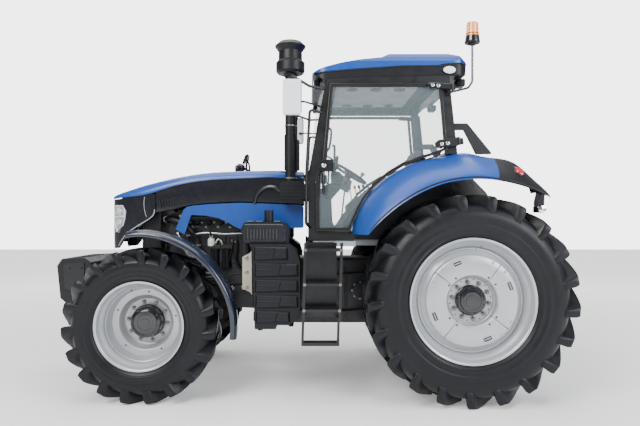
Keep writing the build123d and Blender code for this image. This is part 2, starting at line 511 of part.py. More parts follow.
# ================= rear fenders =================
def fen(a_list, t=8.0):
    secs = []
    for a, ri, rl in a_list:
        c, q = math.cos(math.radians(a)), math.sin(math.radians(a))

        def at(rr, y):
            return Vector(rr * c, y, RR + rr * q)
        d = ri - rl
        out = [at(ri + 2, 655), at(ri + 2, 780), at(ri, 860), at(ri - 0.16 * d, 985), at(ri - 0.42 * d, 1100), at(ri - 0.72 * d, 1190), at(rl, FEN_OUT)]
        inn = [at(rl + 2, FEN_OUT - 9), at(ri - 0.72 * d - 4, 1181), at(ri - 0.42 * d - 6, 1094), at(ri - 0.16 * d - 8, 982), at(ri - 8, 858), at(ri - 6, 780), at(ri - 6, 655)]
        secs.append(Face(Wire([Spline(*out), Line(out[-1], inn[0]), Spline(*inn), Line(inn[-1], out[0])])))
    return loft(secs)


FEN_TAB = [(28, 1175, 1092), (33, 1212, 1090), (40, 1258, 1077), (50, 1300, 1063), (60, 1318, 1058), (72, 1325, 1062), (84, 1320, 1066), (96, 1322, 1072), (104, 1328, 1078),
           (110, 1332, 1086), (115, 1300, 1096), (120, 1262, 1108), (126, 1205, 1120)]
whole = fen(FEN_TAB)
whole -= box(-200, 1400, 600, 1300, 1300, 1503)
tail_cut = prism([(-286, 2400), (-286, 2320), (-196, 1900), (-60, 1300), (-900, 1300), (-900, 2400)], 600, 1300)
fl = whole - tail_cut
tl = whole & tail_cut
add("rear_fenders", fl, mir(fl))
add("fender_tails", tl, mir(tl))
# braces from the cab's rear posts down to the fenders
br = prism([(80, 2550), (-58, 2550), (-70, 2542), (-290, 2272), (-291, 2258), (-150, 2256), (-30, 2486), (80, 2486)], 737, 769)
br = fillet(br.edges().filter_by(Axis.X), 5)
join("cab_frame", br, mir(br))

# ================= tanks and steps =================
def tank(s):
    t = prism([(2000, 1415), (1955, 1380), (1945, 1180), (1930, 643), (1736, 643), (1727, 679), (1619, 679), (1519, 743), (1519, 1251), (1546, 1342), (1619, 1400), (1640, 1415)], s * 560, s * 1010)
    t = fillet(t.edges().filter_by(Axis.Y), 12)
    top = fillet(prism([(2060, 1540), (2010, 1420), (1622, 1420), (1622, 1560), (1670, 1610), (2030, 1610)], s * 560, s * 990).edges().filter_by(Axis.Y), 14)
    return t, top


t1, t2 = tank(1)
join("fuel_tank", t1, t2, cyl((1809, 880, 1600), (1809, 880, 1722), 42))
t1, t2 = tank(-1)
join("battery_box", t1, t2)

for side, s in (("left", 1), ("right", -1)):
    st = None
    for x in (1470, 1146):
        rl = prism([(x - 12, 1428), (x + 12, 1428), (x + 30, 730), (x + 6, 730)], s * 1075, s * 1125)
        st = rl if st is None else st + rl
    for z, dx in ((1352, 2), (1045, 10), (815, 16)):
        st += box(1146 + dx, 1470 + dx, s * 900, s * 1122, z, z + 22)
    for x in (1170, 1490):
        st += box(x - 8, x + 8, s * 900, s * 1080, 735, 760)
    st += box(1180, 1470, s * 850, s * 905, 735, 1420)
    st += prism([(1500, 760), (1478, 760), (1484, 540), (1506, 540)], s * 1080, s * 1110)
    st += prism([(1184, 760), (1162, 760), (1168, 540), (1190, 540)], s * 1080, s * 1110)
    st += box(1168, 1506, s * 1000, s * 1112, 512, 540)
    st += box(1200, 1460, s * 560, s * 860, 1385, 1425) - box(990, 1398, -830, 830, 1380, 1440)
    join("cab_steps", st)
# side frame bars from the transmission out to tank and steps
bars = None
for s in (1, -1):
    for x in (1290, 1700):
        b = box(x - 40, x + 40, s * 215, s * 560, 760, 840) if x == 1700 else box(x - 40, x + 40, s * 215, s * 850, 760, 840)
        bars = b if bars is None else bars + b
join("transmission_case", bars)
# cab mounts: posts from the transmission up to the floor
for y in (160, -160):
    join("transmission_case", cyl((1300, y, 1150), (1300, y, 1385), 60))
    join("rear_axle_housing", cyl((200, y, 1200), (200, y, 1385), 60))

# ================= rear linkage =================
LA = (-120.0, 560.0)   # lower link front pins
LC = (-640.0, 530.0)   # lift-rod eyes on the lower links
OFF = 740.0
LB, LD = (LA[0], LA[1] + OFF), (LC[0], LC[1] + OFF)
LY = 335.0             # lower link planes
low = None
for s in (1, -1):
    y = s * LY
    l = prism([(-90, 590), (-120, 600), (-640, 575), (-930, 562), (-955, 532), (-930, 503), (-640, 492), (-120, 520), (-90, 530)], y - 18, y + 18)
    l += cyl((-930, y - 30, 532), (-930, y + 30, 532), 40)
    l -= cyl((-930, y - 40, 532), (-930, y + 40, 532), 18.7)
    l -= cyl((LA[0], y - 40, LA[1]), (LA[0], y + 40, LA[1]), 14.1)
    low = l if low is None else low + l
add("lower_links", low)
# pins that hold the lower links, carried by brackets under the axle trumpets
for s in (1, -1):
    y = s * LY
    b = prism([(-150, 740), (-80, 740), (-84, 530), (-150, 530)], y - 52, y - 26) + prism([(-150, 740), (-80, 740), (-84, 530), (-150, 530)], y + 26, y + 52)
    b += box(-150, 70, y - 52, y + 52, 700, 800)
    b += cyl((LA[0], y - 60, LA[1]), (LA[0], y + 60, LA[1]), 14)
    join("rear_axle_housing", b)
# lift arms on a cross shaft
la = cyl((LB[0], -318, LB[1]), (LB[0], 318, LB[1]), 40)
for s in (1, -1):
    y = s * 300
    a = prism([(-70, 1350), (-120, 1362), (-640, 1302), (-672, 1270), (-640, 1240), (-120, 1240), (-70, 1255)], y - 16, y + 16)
    a -= cyl((LD[0], y - 40, LD[1]), (LD[0], y + 40, LD[1]), 13.1)
    la += a
add("lift_arms", la)
# housing lugs for the lift shaft
for s in (1, -1):
    l = prism([(-190, 1200), (-50, 1200), (-60, 1350), (-180, 1350)], s * 130, s * 190)
    l -= cyl((LB[0], s * 100, LB[1]), (LB[0], s * 220, LB[1]), 40.3)
    join("rear_axle_housing", l)
rods = []
for s in (1, -1):
    y = s * LY
    r = cyl((LD[0], y, LD[1]), (LD[0], y, 600), 15) + cyl((LD[0], y, 860), (LD[0], y, 1060), 26)
    r += cyl((LD[0], y - 10, LD[1]), (LD[0], y + 10, LD[1]), 30)
    r += cyl((LD[0], y + s * 8, LD[1]), (LD[0], s * 281, LD[1]), 13)
    rods.append(r)
add("lift_rods", *rods)

# top link bracket, drawbar, power take-off shaft
tb = box(-420, -330, -60, 60, 1000, 1130) - box(-425, -345, -24, 24, 980, 1140) - cyl((-385, -80, 1080), (-385, 80, 1080), 15.95)
join("rear_axle_housing", tb)
db = box(-620, 300, -40, 40, 400, 440) - cyl((-575, 0, 380), (-575, 0, 460), 16)
db += box(-330, -250, -60, 60, 440, 640) - box(-340, -240, -41, 41, 399, 441)
add("drawbar", db)
add("pto_shaft", cyl((-430, 0, 760), (-330, 0, 760), 17.45))

trim("cab_frame", "rear_fenders", "roof_base", "cab_floor")
trim("work_lamps", "roof_base", "cab_frame", "fender_tails")
trim("beacon", "cab_frame", "roof_base", "roof_cap")
trim("cab_walls", "rear_fenders", "cab_floor", "cab_frame")
trim("cab_steps", "cab_frame", "cab_floor", "transmission_case", "fuel_tank", "battery_box")
trim("radiator", "front_frame", "engine_block")
trim("front_frame", "engine_block", "transmission_case", "front_axle")
trim("rear_axle_housing", "transmission_case")
trim("drawbar", "rear_axle_housing", "transmission_case")

BOX = []
for name, solids in PARTS.items():
    moved = [Pos(XO, 0, ZO) * q for q in solids]
    BOX.append(Compound(children=[Pos(0, 0, 0) * q for q in moved]).bounding_box())
    shape = moved[0] if len(moved) == 1 else Compound(children=moved)
    export_step(shape, f"parts/{name}.step")
print("box", [round(v, 2) for v in (min(b.min.X for b in BOX), max(b.max.X for b in BOX), min(b.min.Y for b in BOX), max(b.max.Y for b in BOX), min(b.min.Z for b in BOX), max(b.max.Z for b in BOX))])
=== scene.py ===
import bpy
import bmesh
import math
import random
from mathutils import Vector, Matrix


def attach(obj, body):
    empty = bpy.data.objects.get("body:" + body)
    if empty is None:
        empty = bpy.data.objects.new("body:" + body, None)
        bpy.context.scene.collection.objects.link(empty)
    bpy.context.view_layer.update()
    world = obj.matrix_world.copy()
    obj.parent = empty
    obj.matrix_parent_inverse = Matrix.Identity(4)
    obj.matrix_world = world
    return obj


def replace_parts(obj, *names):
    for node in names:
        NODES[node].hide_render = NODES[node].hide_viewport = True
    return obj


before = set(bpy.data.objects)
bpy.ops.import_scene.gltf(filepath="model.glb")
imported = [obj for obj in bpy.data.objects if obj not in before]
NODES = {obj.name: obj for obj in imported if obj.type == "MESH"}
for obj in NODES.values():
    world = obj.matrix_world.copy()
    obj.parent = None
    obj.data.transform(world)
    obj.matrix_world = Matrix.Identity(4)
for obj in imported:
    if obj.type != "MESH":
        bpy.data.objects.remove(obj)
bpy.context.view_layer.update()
XO = -1.5037          # rear axle in the model's frame, so X from the axle + XO is the row's X
random.seed(7)


# ------------------------------------------------------------------ materials
def new_mat(name):
    m = bpy.data.materials.new(name)
    m.use_nodes = True
    nt = m.node_tree
    for n in list(nt.nodes):
        nt.nodes.remove(n)
    out = nt.nodes.new("ShaderNodeOutputMaterial")
    b = nt.nodes.new("ShaderNodeBsdfPrincipled")
    nt.links.new(b.outputs[0], out.inputs[0])
    return m, nt, b


def noise(nt, scale, detail=3.0, rough=0.5, vec=None, kind="ShaderNodeTexNoise"):
    n = nt.nodes.new(kind)
    n.inputs["Scale"].default_value = scale
    if "Detail" in n.inputs:
        n.inputs["Detail"].default_value = detail
    if "Roughness" in n.inputs:
        n.inputs["Roughness"].default_value = rough
    if vec is None:
        t = nt.nodes.new("ShaderNodeTexCoord")
        vec = t.outputs["Object"]
    nt.links.new(vec, n.inputs["Vector"])
    return n


def ramp(nt, src, stops):
    r = nt.nodes.new("ShaderNodeValToRGB")
    el = r.color_ramp.elements
    el[0].position, el[0].color = stops[0][0], stops[0][1]
    el[1].position, el[1].color = stops[1][0], stops[1][1]
    for p, c in stops[2:]:
        e = el.new(p)
        e.color = c
    nt.links.new(src, r.inputs[0])
    return r


def maprange(nt, src, a, b, lo=0.0, hi=1.0):
    r = nt.nodes.new("ShaderNodeMapRange")
    r.inputs[1].default_value = lo
    r.inputs[2].default_value = hi
    r.inputs[3].default_value = a
    r.inputs[4].default_value = b
    nt.links.new(src, r.inputs[0])
    return r


def bump(nt, bsdf, src, strength, dist):
    b = nt.nodes.new("ShaderNodeBump")
    b.inputs["Strength"].default_value = strength
    b.inputs["Distance"].default_value = dist
    nt.links.new(src, b.inputs["Height"])
    nt.links.new(b.outputs[0], bsdf.inputs["Normal"])
    return b


def c4(c, k=1.0):
    return (c[0] * k, c[1] * k, c[2] * k, 1.0)


def paint(name, col, rough=0.22, coat=0.6, metal=0.0, vary=0.06, dust=0.0, dust_and_sheen_col=(0.35, 0.33, 0.30), orange=0.03, spec=0.4, cr=0.14):
    """Sprayed paint: slight colour drift, orange peel, and a mix towards a second colour on faces that look up: grey
    dust on most finishes, a painted highlight where that colour is a lighter shade of the paint.
    """
    m, nt, b = new_mat(name)
    n1 = noise(nt, 2.2, 4)
    r = ramp(nt, n1.outputs[0], [(0.3, c4(col, 1 - vary)), (0.7, c4(col, 1 + vary))])
    src = r.outputs[0]
    if dust > 0:
        geo = nt.nodes.new("ShaderNodeNewGeometry")
        sep = nt.nodes.new("ShaderNodeSeparateXYZ")
        nt.links.new(geo.outputs["Normal"], sep.inputs[0])
        up = maprange(nt, sep.outputs[2], 0.0, dust, 0.35, 1.0)
        n2 = noise(nt, 9.0, 6, 0.65)
        mul = nt.nodes.new("ShaderNodeMath")
        mul.operation = "MULTIPLY"
        nt.links.new(up.outputs[0], mul.inputs[0])
        nt.links.new(n2.outputs[0], mul.inputs[1])
        mix = nt.nodes.new("ShaderNodeMixRGB")
        mix.inputs[2].default_value = c4(dust_and_sheen_col)
        nt.links.new(mul.outputs[0], mix.inputs[0])
        nt.links.new(src, mix.inputs[1])
        src = mix.outputs[0]
    nt.links.new(src, b.inputs["Base Color"])
    n3 = noise(nt, 14.0, 5, 0.6)
    rr = maprange(nt, n3.outputs[0], rough * 0.8, rough * 1.3, 0.3, 0.7)
    nt.links.new(rr.outputs[0], b.inputs["Roughness"])
    b.inputs["Metallic"].default_value = metal
    b.inputs["Coat Weight"].default_value = coat
    b.inputs["Coat Roughness"].default_value = cr
    b.inputs["Specular IOR Level"].default_value = spec
    n4 = noise(nt, 260.0, 2)
    bump(nt, b, n4.outputs[0], orange, 0.001)
    return m


def plastic(name, col, rough=0.5, grain=0.12, scale=420.0, vary=0.15, coat=0.0, dust=0.12, spec=0.5):
    """Moulded plastic: pebble grain, uneven sheen, light dust on faces that look up."""
    m, nt, b = new_mat(name)
    n1 = noise(nt, 5.0, 5, 0.6)
    r = ramp(nt, n1.outputs[0], [(0.3, c4(col, 1 - vary)), (0.7, c4(col, 1 + vary))])
    geo = nt.nodes.new("ShaderNodeNewGeometry")
    sep = nt.nodes.new("ShaderNodeSeparateXYZ")
    nt.links.new(geo.outputs["Normal"], sep.inputs[0])
    up = maprange(nt, sep.outputs[2], 0.0, dust, 0.3, 1.0)
    mix = nt.nodes.new("ShaderNodeMixRGB")
    mix.inputs[2].default_value = (0.09, 0.092, 0.10, 1)
    nt.links.new(up.outputs[0], mix.inputs[0])
    nt.links.new(r.outputs[0], mix.inputs[1])
    nt.links.new(mix.outputs[0], b.inputs["Base Color"])
    n3 = noise(nt, 11.0, 5, 0.6)
    rr = maprange(nt, n3.outputs[0], rough * 0.85, rough * 1.2, 0.3, 0.7)
    nt.links.new(rr.outputs[0], b.inputs["Roughness"])
    b.inputs["Coat Weight"].default_value = coat
    b.inputs["Coat Roughness"].default_value = 0.08
    b.inputs["Specular IOR Level"].default_value = spec
    v = noise(nt, scale, kind="ShaderNodeTexVoronoi")
    bump(nt, b, v.outputs[0], grain, 0.0006)
    return m


def rubber(name, col=(0.0036, 0.0040, 0.0056), rough=0.42):
    """Tyre rubber: matt with a faint bloom, fine moulding marks and dry dust in patches."""
    m, nt, b = new_mat(name)
    n1 = noise(nt, 3.5, 6, 0.65)
    r = ramp(nt, n1.outputs[0], [(0.3, c4(col, 0.7)), (0.72, c4(col, 1.7))])
    n2 = noise(nt, 26.0, 6, 0.7)
    dusty = maprange(nt, n2.outputs[0], 0.0, 0.30, 0.52, 0.80)
    mix = nt.nodes.new("ShaderNodeMixRGB")
    mix.inputs[2].default_value = (0.011, 0.0115, 0.014, 1)
    nt.links.new(dusty.outputs[0], mix.inputs[0])
    nt.links.new(r.outputs[0], mix.inputs[1])
    nt.links.new(mix.outputs[0], b.inputs["Base Color"])
    rr = maprange(nt, n1.outputs[0], rough * 0.75, rough * 1.25, 0.3, 0.7)
    nt.links.new(rr.outputs[0], b.inputs["Roughness"])
    b.inputs["Specular IOR Level"].default_value = 0.28
    n4 = noise(nt, 150.0, 4, 0.6)
    bump(nt, b, n4.outputs[0], 0.25, 0.0012)
    return m


def metal(name, col=(0.62, 0.63, 0.65), rough=0.32, brushed=True):
    m, nt, b = new_mat(name)
    t = nt.nodes.new("ShaderNodeTexCoord")
    mp = nt.nodes.new("ShaderNodeMapping")
    mp.inputs["Scale"].default_value = (1, 1, 24) if brushed else (1, 1, 1)
    nt.links.new(t.outputs["Object"], mp.inputs[0])
    n1 = noise(nt, 30.0, 5, 0.6, mp.outputs[0])
    r = ramp(nt, n1.outputs[0], [(0.3, c4(col, 0.82)), (0.7, c4(col, 1.08))])
    nt.links.new(r.outputs[0], b.inputs["Base Color"])
    b.inputs["Metallic"].default_value = 1.0
    rr = maprange(nt, n1.outputs[0], rough * 0.7, rough * 1.4, 0.3, 0.7)
    nt.links.new(rr.outputs[0], b.inputs["Roughness"])
    bump(nt, b, n1.outputs[0], 0.06, 0.0008)
    return m


def glassy(name, col=(0.30, 0.37, 0.40), alpha=0.15, rough=0.02):
    """Clear safety glass: tinted, mostly see-through, with full gloss."""
    m, nt, b = new_mat(name)
    n1 = noise(nt, 1.3, 3)
    r = ramp(nt, n1.outputs[0], [(0.3, c4(col, 0.94)), (0.7, c4(col, 1.0))])
    nt.links.new(r.outputs[0], b.inputs["Base Color"])
    b.inputs["Roughness"].default_value = rough
    b.inputs["Alpha"].default_value = alpha
    b.inputs["IOR"].default_value = 1.5
    b.inputs["Specular IOR Level"].default_value = 0.6
    n2 = noise(nt, 1.1, 2)
    bump(nt, b, n2.outputs[0], 0.02, 0.01)
    m.surface_render_method = "BLENDED"
    return m


def lens(name, col, alpha=0.55, rough=0.05, emit=0.0, trans=0.0, ribs=90.0):
    """Moulded lens with fine ribs."""
    m, nt, b = new_mat(name)
    n1 = noise(nt, 18.0, 2)
    r = ramp(nt, n1.outputs[0], [(0.3, c4(col, 0.85)), (0.7, c4(col, 1.1))])
    nt.links.new(r.outputs[0], b.inputs["Base Color"])
    b.inputs["Roughness"].default_value = rough
    b.inputs["Alpha"].default_value = alpha
    b.inputs["Coat Weight"].default_value = 1.0
    b.inputs["Coat Roughness"].default_value = 0.03
    if emit > 0:
        b.inputs["Emission Color"].default_value = c4(col)
        b.inputs["Emission Strength"].default_value = emit
    t = nt.nodes.new("ShaderNodeTexCoord")
    w = nt.nodes.new("ShaderNodeTexWave")
    w.wave_type = "BANDS"
    w.bands_direction = "Z"
    w.inputs["Scale"].default_value = ribs
    nt.links.new(t.outputs["Object"], w.inputs["Vector"])
    bump(nt, b, w.outputs[0], 0.15, 0.001)
    return m


def cloth(name, col):
    m, nt, b = new_mat(name)
    t = nt.nodes.new("ShaderNodeTexCoord")
    ws = []
    for d in ("X", "Z"):
        w = nt.nodes.new("ShaderNodeTexWave")
        w.bands_direction = d
        w.inputs["Scale"].default_value = 150.0
        w.inputs["Distortion"].default_value = 0.4
        nt.links.new(t.outputs["Object"], w.inputs["Vector"])
        ws.append(w)
    mx = nt.nodes.new("ShaderNodeMath")
    mx.operation = "MAXIMUM"
    nt.links.new(ws[0].outputs["Fac"], mx.inputs[0])
    nt.links.new(ws[1].outputs["Fac"], mx.inputs[1])
    r = ramp(nt, mx.outputs[0], [(0.1, c4(col, 0.55)), (0.9, c4(col, 1.25))])
    n = noise(nt, 8.0, 4)
    mix = nt.nodes.new("ShaderNodeMixRGB")
    mix.blend_type = "MULTIPLY"
    mix.inputs[0].default_value = 0.35
    nt.links.new(r.outputs[0], mix.inputs[1])
    nt.links.new(n.outputs[0], mix.inputs[2])
    nt.links.new(mix.outputs[0], b.inputs["Base Color"])
    b.inputs["Roughness"].default_value = 0.9
    b.inputs["Sheen Weight"].default_value = 0.35
    bump(nt, b, mx.outputs[0], 0.4, 0.0012)
    return m


M = {
    # blue: its top colour is a lighter blue, a painted highlight on faces that look up
    "blue": paint("blue_paint", (0.0003, 0.050, 0.27), rough=0.36, coat=0.35, cr=0.22, vary=0.05, dust=0.03, dust_and_sheen_col=(0.12, 0.25, 0.60)),
    "gloss_black": paint("gloss_black", (0.003, 0.0035, 0.007), rough=0.2, coat=0.7, cr=0.10, vary=0.1, orange=0.015),
    "frame_black": paint("frame_black", (0.003, 0.0034, 0.005), rough=0.38, coat=0.2, vary=0.15, dust=0.10),
    "chassis": paint("chassis_paint", (0.006, 0.0068, 0.009), rough=0.42, coat=0.15, vary=0.2, dust=0.25, orange=0.08),
    "silver": paint("wheel_silver", (0.42, 0.435, 0.455), rough=0.34, coat=0.3, metal=0.45, vary=0.03, dust=0.12, dust_and_sheen_col=(0.45, 0.45, 0.45)),
    "plastic": plastic("black_plastic", (0.0035, 0.004, 0.006), rough=0.42, spec=0.3),
    "plastic_gloss": plastic("satin_black_plastic", (0.006, 0.007, 0.011), rough=0.22, grain=0.05, coat=0.3, dust=0.05),
    "rubber": rubber("tyre_rubber"),
    "seal": rubber("rubber_seal", (0.005, 0.005, 0.006), 0.5),
    "steel": metal("bare_steel"),
    "zinc": metal("zinc_plate", (0.26, 0.25, 0.23), 0.35, False),
    "chrome": metal("bright_metal", (0.86, 0.87, 0.89), 0.08, False),
    "glass": glassy("cab_glass"),
    "grey": plastic("interior_grey", (0.34, 0.36, 0.39), rough=0.55, grain=0.2, dust=0.02, vary=0.06),
    "lightgrey": plastic("interior_light_grey", (0.60, 0.63, 0.67), rough=0.5, grain=0.15, dust=0.0, vary=0.04),
    "white": plastic("white_plastic", (0.75, 0.78, 0.82), rough=0.3, grain=0.04, dust=0.0, vary=0.03, coat=0.4),
    "amber": lens("amber_lens", (0.95, 0.33, 0.02), alpha=0.93, emit=0.15),
    "red": lens("red_lens", (0.55, 0.01, 0.015), alpha=0.96),
    "clear": lens("clear_lens", (0.85, 0.90, 0.95), alpha=0.22, ribs=140.0),
    "ballast": paint("ballast_black", (0.006, 0.0065, 0.009), rough=0.5, coat=0.1, vary=0.2, dust=0.04, spec=0.3),
    "fender_black": paint("fender_black", (0.005, 0.009, 0.022), rough=0.28, coat=0.6, vary=0.1, dust=0.04, cr=0.12),
    # matte dark grey: painted shade in the gaps, pockets, holes and slots of the wheels and the tank cheek, a plain
    # dark finish on straps and seams
    "dark_and_painted_shade": paint("dark_matte_and_painted_shade", (0.02, 0.021, 0.024), rough=0.6, coat=0.0),
    "fabric": cloth("seat_cloth", (0.05, 0.055, 0.07)),
}


def split(name, base, colb, test, rough_b=None):
    """Two colours on one moulding, a second finish or painted shade: the mask is a chain of comparisons on the piece's
    own place and facing.
    """
    m = M[base].copy()
    m.name = name
    nt = m.node_tree
    b = next(n for n in nt.nodes if n.type == "BSDF_PRINCIPLED")
    t = nt.nodes.new("ShaderNodeTexCoord")
    sp, sn = nt.nodes.new("ShaderNodeSeparateXYZ"), nt.nodes.new("ShaderNodeSeparateXYZ")
    nt.links.new(t.outputs["Object"], sp.inputs[0])
    nt.links.new(t.outputs["Normal"], sn.inputs[0])

    def op(kind, a, c):
        n = nt.nodes.new("ShaderNodeMath")
        n.operation = kind
        for i, q in enumerate((a, c)):
            if isinstance(q, (int, float)):
                n.inputs[i].default_value = q
            else:
                nt.links.new(q, n.inputs[i])
        return n.outputs[0]
    mask = test(op, sp.outputs[0], sp.outputs[1], sp.outputs[2], sn.outputs[0], sn.outputs[1], sn.outputs[2])
    old = b.inputs["Base Color"].links[0].from_socket
    mix = nt.nodes.new("ShaderNodeMixRGB")
    mix.inputs[2].default_value = c4(colb)
    nt.links.new(mask, mix.inputs[0])
    nt.links.new(old, mix.inputs[1])
    nt.links.new(mix.outputs[0], b.inputs["Base Color"])
    return m


BLK = (0.003, 0.0034, 0.005)
AND, OR, GT, LT = "MINIMUM", "MAXIMUM", "GREATER_THAN", "LESS_THAN"


def set_mat(node, mat):
    o = NODES[node]
    o.data.materials.clear()
    o.data.materials.append(M[mat])


DEFAULT = {
    "hood_top": "blue", "roof_cap": "blue", "rear_fenders": "blue", "engine_side_panels": "blue", "hood_sides": "gloss_black", "hood_nose": "gloss_black", "headlights": "clear",
    "front_wheel_left_rim": "silver", "front_wheel_right_rim": "silver", "rear_wheel_left_rim": "silver", "rear_wheel_right_rim": "silver",
    "front_wheel_left_tyre": "rubber", "front_wheel_right_tyre": "rubber", "rear_wheel_left_tyre": "rubber", "rear_wheel_right_tyre": "rubber",
    "rear_axle_housing": "chassis", "transmission_case": "chassis", "engine_block": "chassis", "front_frame": "chassis", "front_axle": "chassis", "knuckle_left": "chassis", "knuckle_right": "chassis",
    "front_ballast": "ballast", "lower_links": "chassis", "lift_arms": "chassis", "lift_rods": "chassis", "drawbar": "chassis", "cab_frame": "frame_black", "mirror_arms": "frame_black",
    "grab_rails": "frame_black", "cab_steps": "frame_black", "exhaust_stack": "frame_black", "door_left": "frame_black", "door_right": "frame_black",
    "cab_windows": "glass", "door_left_glass": "glass", "door_right_glass": "glass", "work_lamps": "plastic", "cab_walls": "grey", "cab_floor": "grey", "side_console": "grey",
    "seat_cushion": "fabric", "seat_backrest": "fabric", "beacon": "amber", "mirrors": "white", "pto_shaft": "steel"}
DEFAULT["front_fender_left"] = DEFAULT["front_fender_right"] = "fender_black"
for n in NODES:
    set_mat(n, DEFAULT.get(n, "plastic"))


def use(node, m):
    o = NODES[node]
    o.data.materials.clear()
    o.data.materials.append(m)


# hood: black lamp, mirror and underside
use("hood_top", split("blue_hood", "blue", BLK, lambda op, x, y, z, nx, ny, nz: op(OR, op(LT, nz, -0.35), op(AND, op(LT, y, -0.26), op(GT, z, 2.165)))))


# rear wings: blue outside, and black on the faces turned towards the wheel as painted shade
def painted_shade_toward_axle(op, x, y, z, nx, ny, nz):
    dot = op("ADD", op("MULTIPLY", nx, op("SUBTRACT", x, XO)), op("MULTIPLY", nz, op("SUBTRACT", z, 0.940)))
    return op(LT, dot, -0.25)


use("rear_fenders", split("blue_wing_shaded_inside", "blue", BLK, painted_shade_toward_axle))
M["amber_solid"] = lens("amber_solid", (0.90, 0.26, 0.01), alpha=1.0)
use("beacon", split("beacon_two", "amber_solid", BLK, lambda op, x, y, z, nx, ny, nz: op(LT, z, 3.372)))
use("cab_walls", split("cab_wall_two", "grey", BLK, lambda op, x, y, z, nx, ny, nz: op(OR, op(GT, op("MULTIPLY", y, ny), 0.15), op(OR, op(LT, nz, -0.5), op(LT, nx, -0.6)))))
# ------------------------------------------------------------------ mesh helpers
def link(name, verts, faces, mats, body, smooth=35.0, fmat=None):
    me = bpy.data.meshes.new(name)
    me.from_pydata([tuple(v) for v in verts], [], faces)
    for k in (mats if isinstance(mats, (list, tuple)) else [mats]):
        me.materials.append(M[k])
    if fmat:
        me.polygons.foreach_set("material_index", fmat)
    bm = bmesh.new()
    bm.from_mesh(me)
    bmesh.ops.remove_doubles(bm, verts=bm.verts, dist=1e-5)
    bmesh.ops.recalc_face_normals(bm, faces=bm.faces)
    lim = math.radians(smooth)
    for e in bm.edges:
        if len(e.link_faces) == 2:
            e.smooth = e.calc_face_angle(0.0) < lim
    for f in bm.faces:
        f.smooth = True
    bm.to_mesh(me)
    bm.free()
    o = bpy.data.objects.new(name, me)
    bpy.context.collection.objects.link(o)
    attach(o, body)
    return o


class Build:
    """Gathers many small shapes into one piece, each with its own material."""

    def __init__(self, name, mats, body="chassis", slot=None, smooth=35.0):
        self.name, self.mats, self.body, self.slot, self.smooth = name, mats, body, slot, smooth
        self.v, self.f, self.m = [], [], []

    def add(self, verts, faces, mat=0):
        k = len(self.v)
        self.v += [tuple(p) for p in verts]
        self.f += [tuple(i + k for i in f) for f in faces]
        self.m += [mat] * len(faces)

    def done(self):
        # no shared doubles between parts: the offset keeps each shape's own normals right
        me = bpy.data.meshes.new(self.name)
        me.from_pydata(self.v, [], self.f)
        for k in self.mats:
            me.materials.append(M[k])
        me.polygons.foreach_set("material_index", self.m)
        bm = bmesh.new()
        bm.from_mesh(me)
        bmesh.ops.recalc_face_normals(bm, faces=bm.faces)
        lim = math.radians(self.smooth)
        for e in bm.edges:
            if len(e.link_faces) == 2:
                e.smooth = e.calc_face_angle(0.0) < lim
        for f in bm.faces:
            f.smooth = True
        bm.to_mesh(me)
        bm.free()
        o = bpy.data.objects.new(self.name, me)
        bpy.context.collection.objects.link(o)
        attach(o, self.body)
        return o


def loft_rings(rings, closed=True, cap=True):
    n = len(rings[0])
    verts = [p for r in rings for p in r]
    faces = []
    for i in range(len(rings) - 1):
        for j in range(n if closed else n - 1):
            a, b = i * n + j, i * n + (j + 1) % n
            faces.append((a, b, b + n, a + n))
    if cap and closed:
        faces.append(tuple(range(n)))
        faces.append(tuple((len(rings) - 1) * n + j for j in range(n)))
    return verts, faces


def frame_of(d):
    d = Vector(d).normalized()
    up = Vector((0, 0, 1)) if abs(d.z) < 0.9 else Vector((1, 0, 0))
    a = d.cross(up).normalized()
    return a, d.cross(a).normalized()


def tube_g(pts, r, seg=14, closed=False):
    """A round bar along a polyline; r is one radius or one per point."""
    pts = [Vector(p) for p in pts]
    rs = r if isinstance(r, (list, tuple)) else [r] * len(pts)
    rings, prev = [], None
    for i, p in enumerate(pts):
        a, b = pts[max(i - 1, 0)], pts[min(i + 1, len(pts) - 1)]
        d = (b - a).normalized()
        if prev is None:
            u, w = frame_of(d)
        else:
            u = (prev - d * prev.dot(d)).normalized()
            w = d.cross(u).normalized()
        prev = u
        rings.append([p + (u * math.cos(t) + w * math.sin(t)) * rs[i] for t in [2 * math.pi * k / seg for k in range(seg)]])
    return loft_rings(rings)


def smooth_path(pts, k=6):
    """Catmull-Rom through the points."""
    p = [Vector(q) for q in pts]
    p = [p[0] * 2 - p[1]] + p + [p[-1] * 2 - p[-2]]
    out = []
    for i in range(1, len(p) - 2):
        for j in range(k):
            t = j / k
            out.append(0.5 * ((2 * p[i]) + (p[i + 1] - p[i - 1]) * t + (2 * p[i - 1] - 5 * p[i] + 4 * p[i + 1] - p[i + 2]) * t * t + (3 * p[i] - p[i - 1] - 3 * p[i + 1] + p[i + 2]) * t ** 3))
    out.append(p[-2])
    return out


def disc_g(c, axis, prof, seg=40):
    """A turned shape: prof is (radius, distance along axis) from the centre c."""
    c, d = Vector(c), Vector(axis).normalized()
    u, w = frame_of(d)
    rings = []
    for r, h in prof:
        rings.append([c + d * h + (u * math.cos(t) + w * math.sin(t)) * max(r, 1e-4) for t in [2 * math.pi * k / seg for k in range(seg)]])
    return loft_rings(rings)


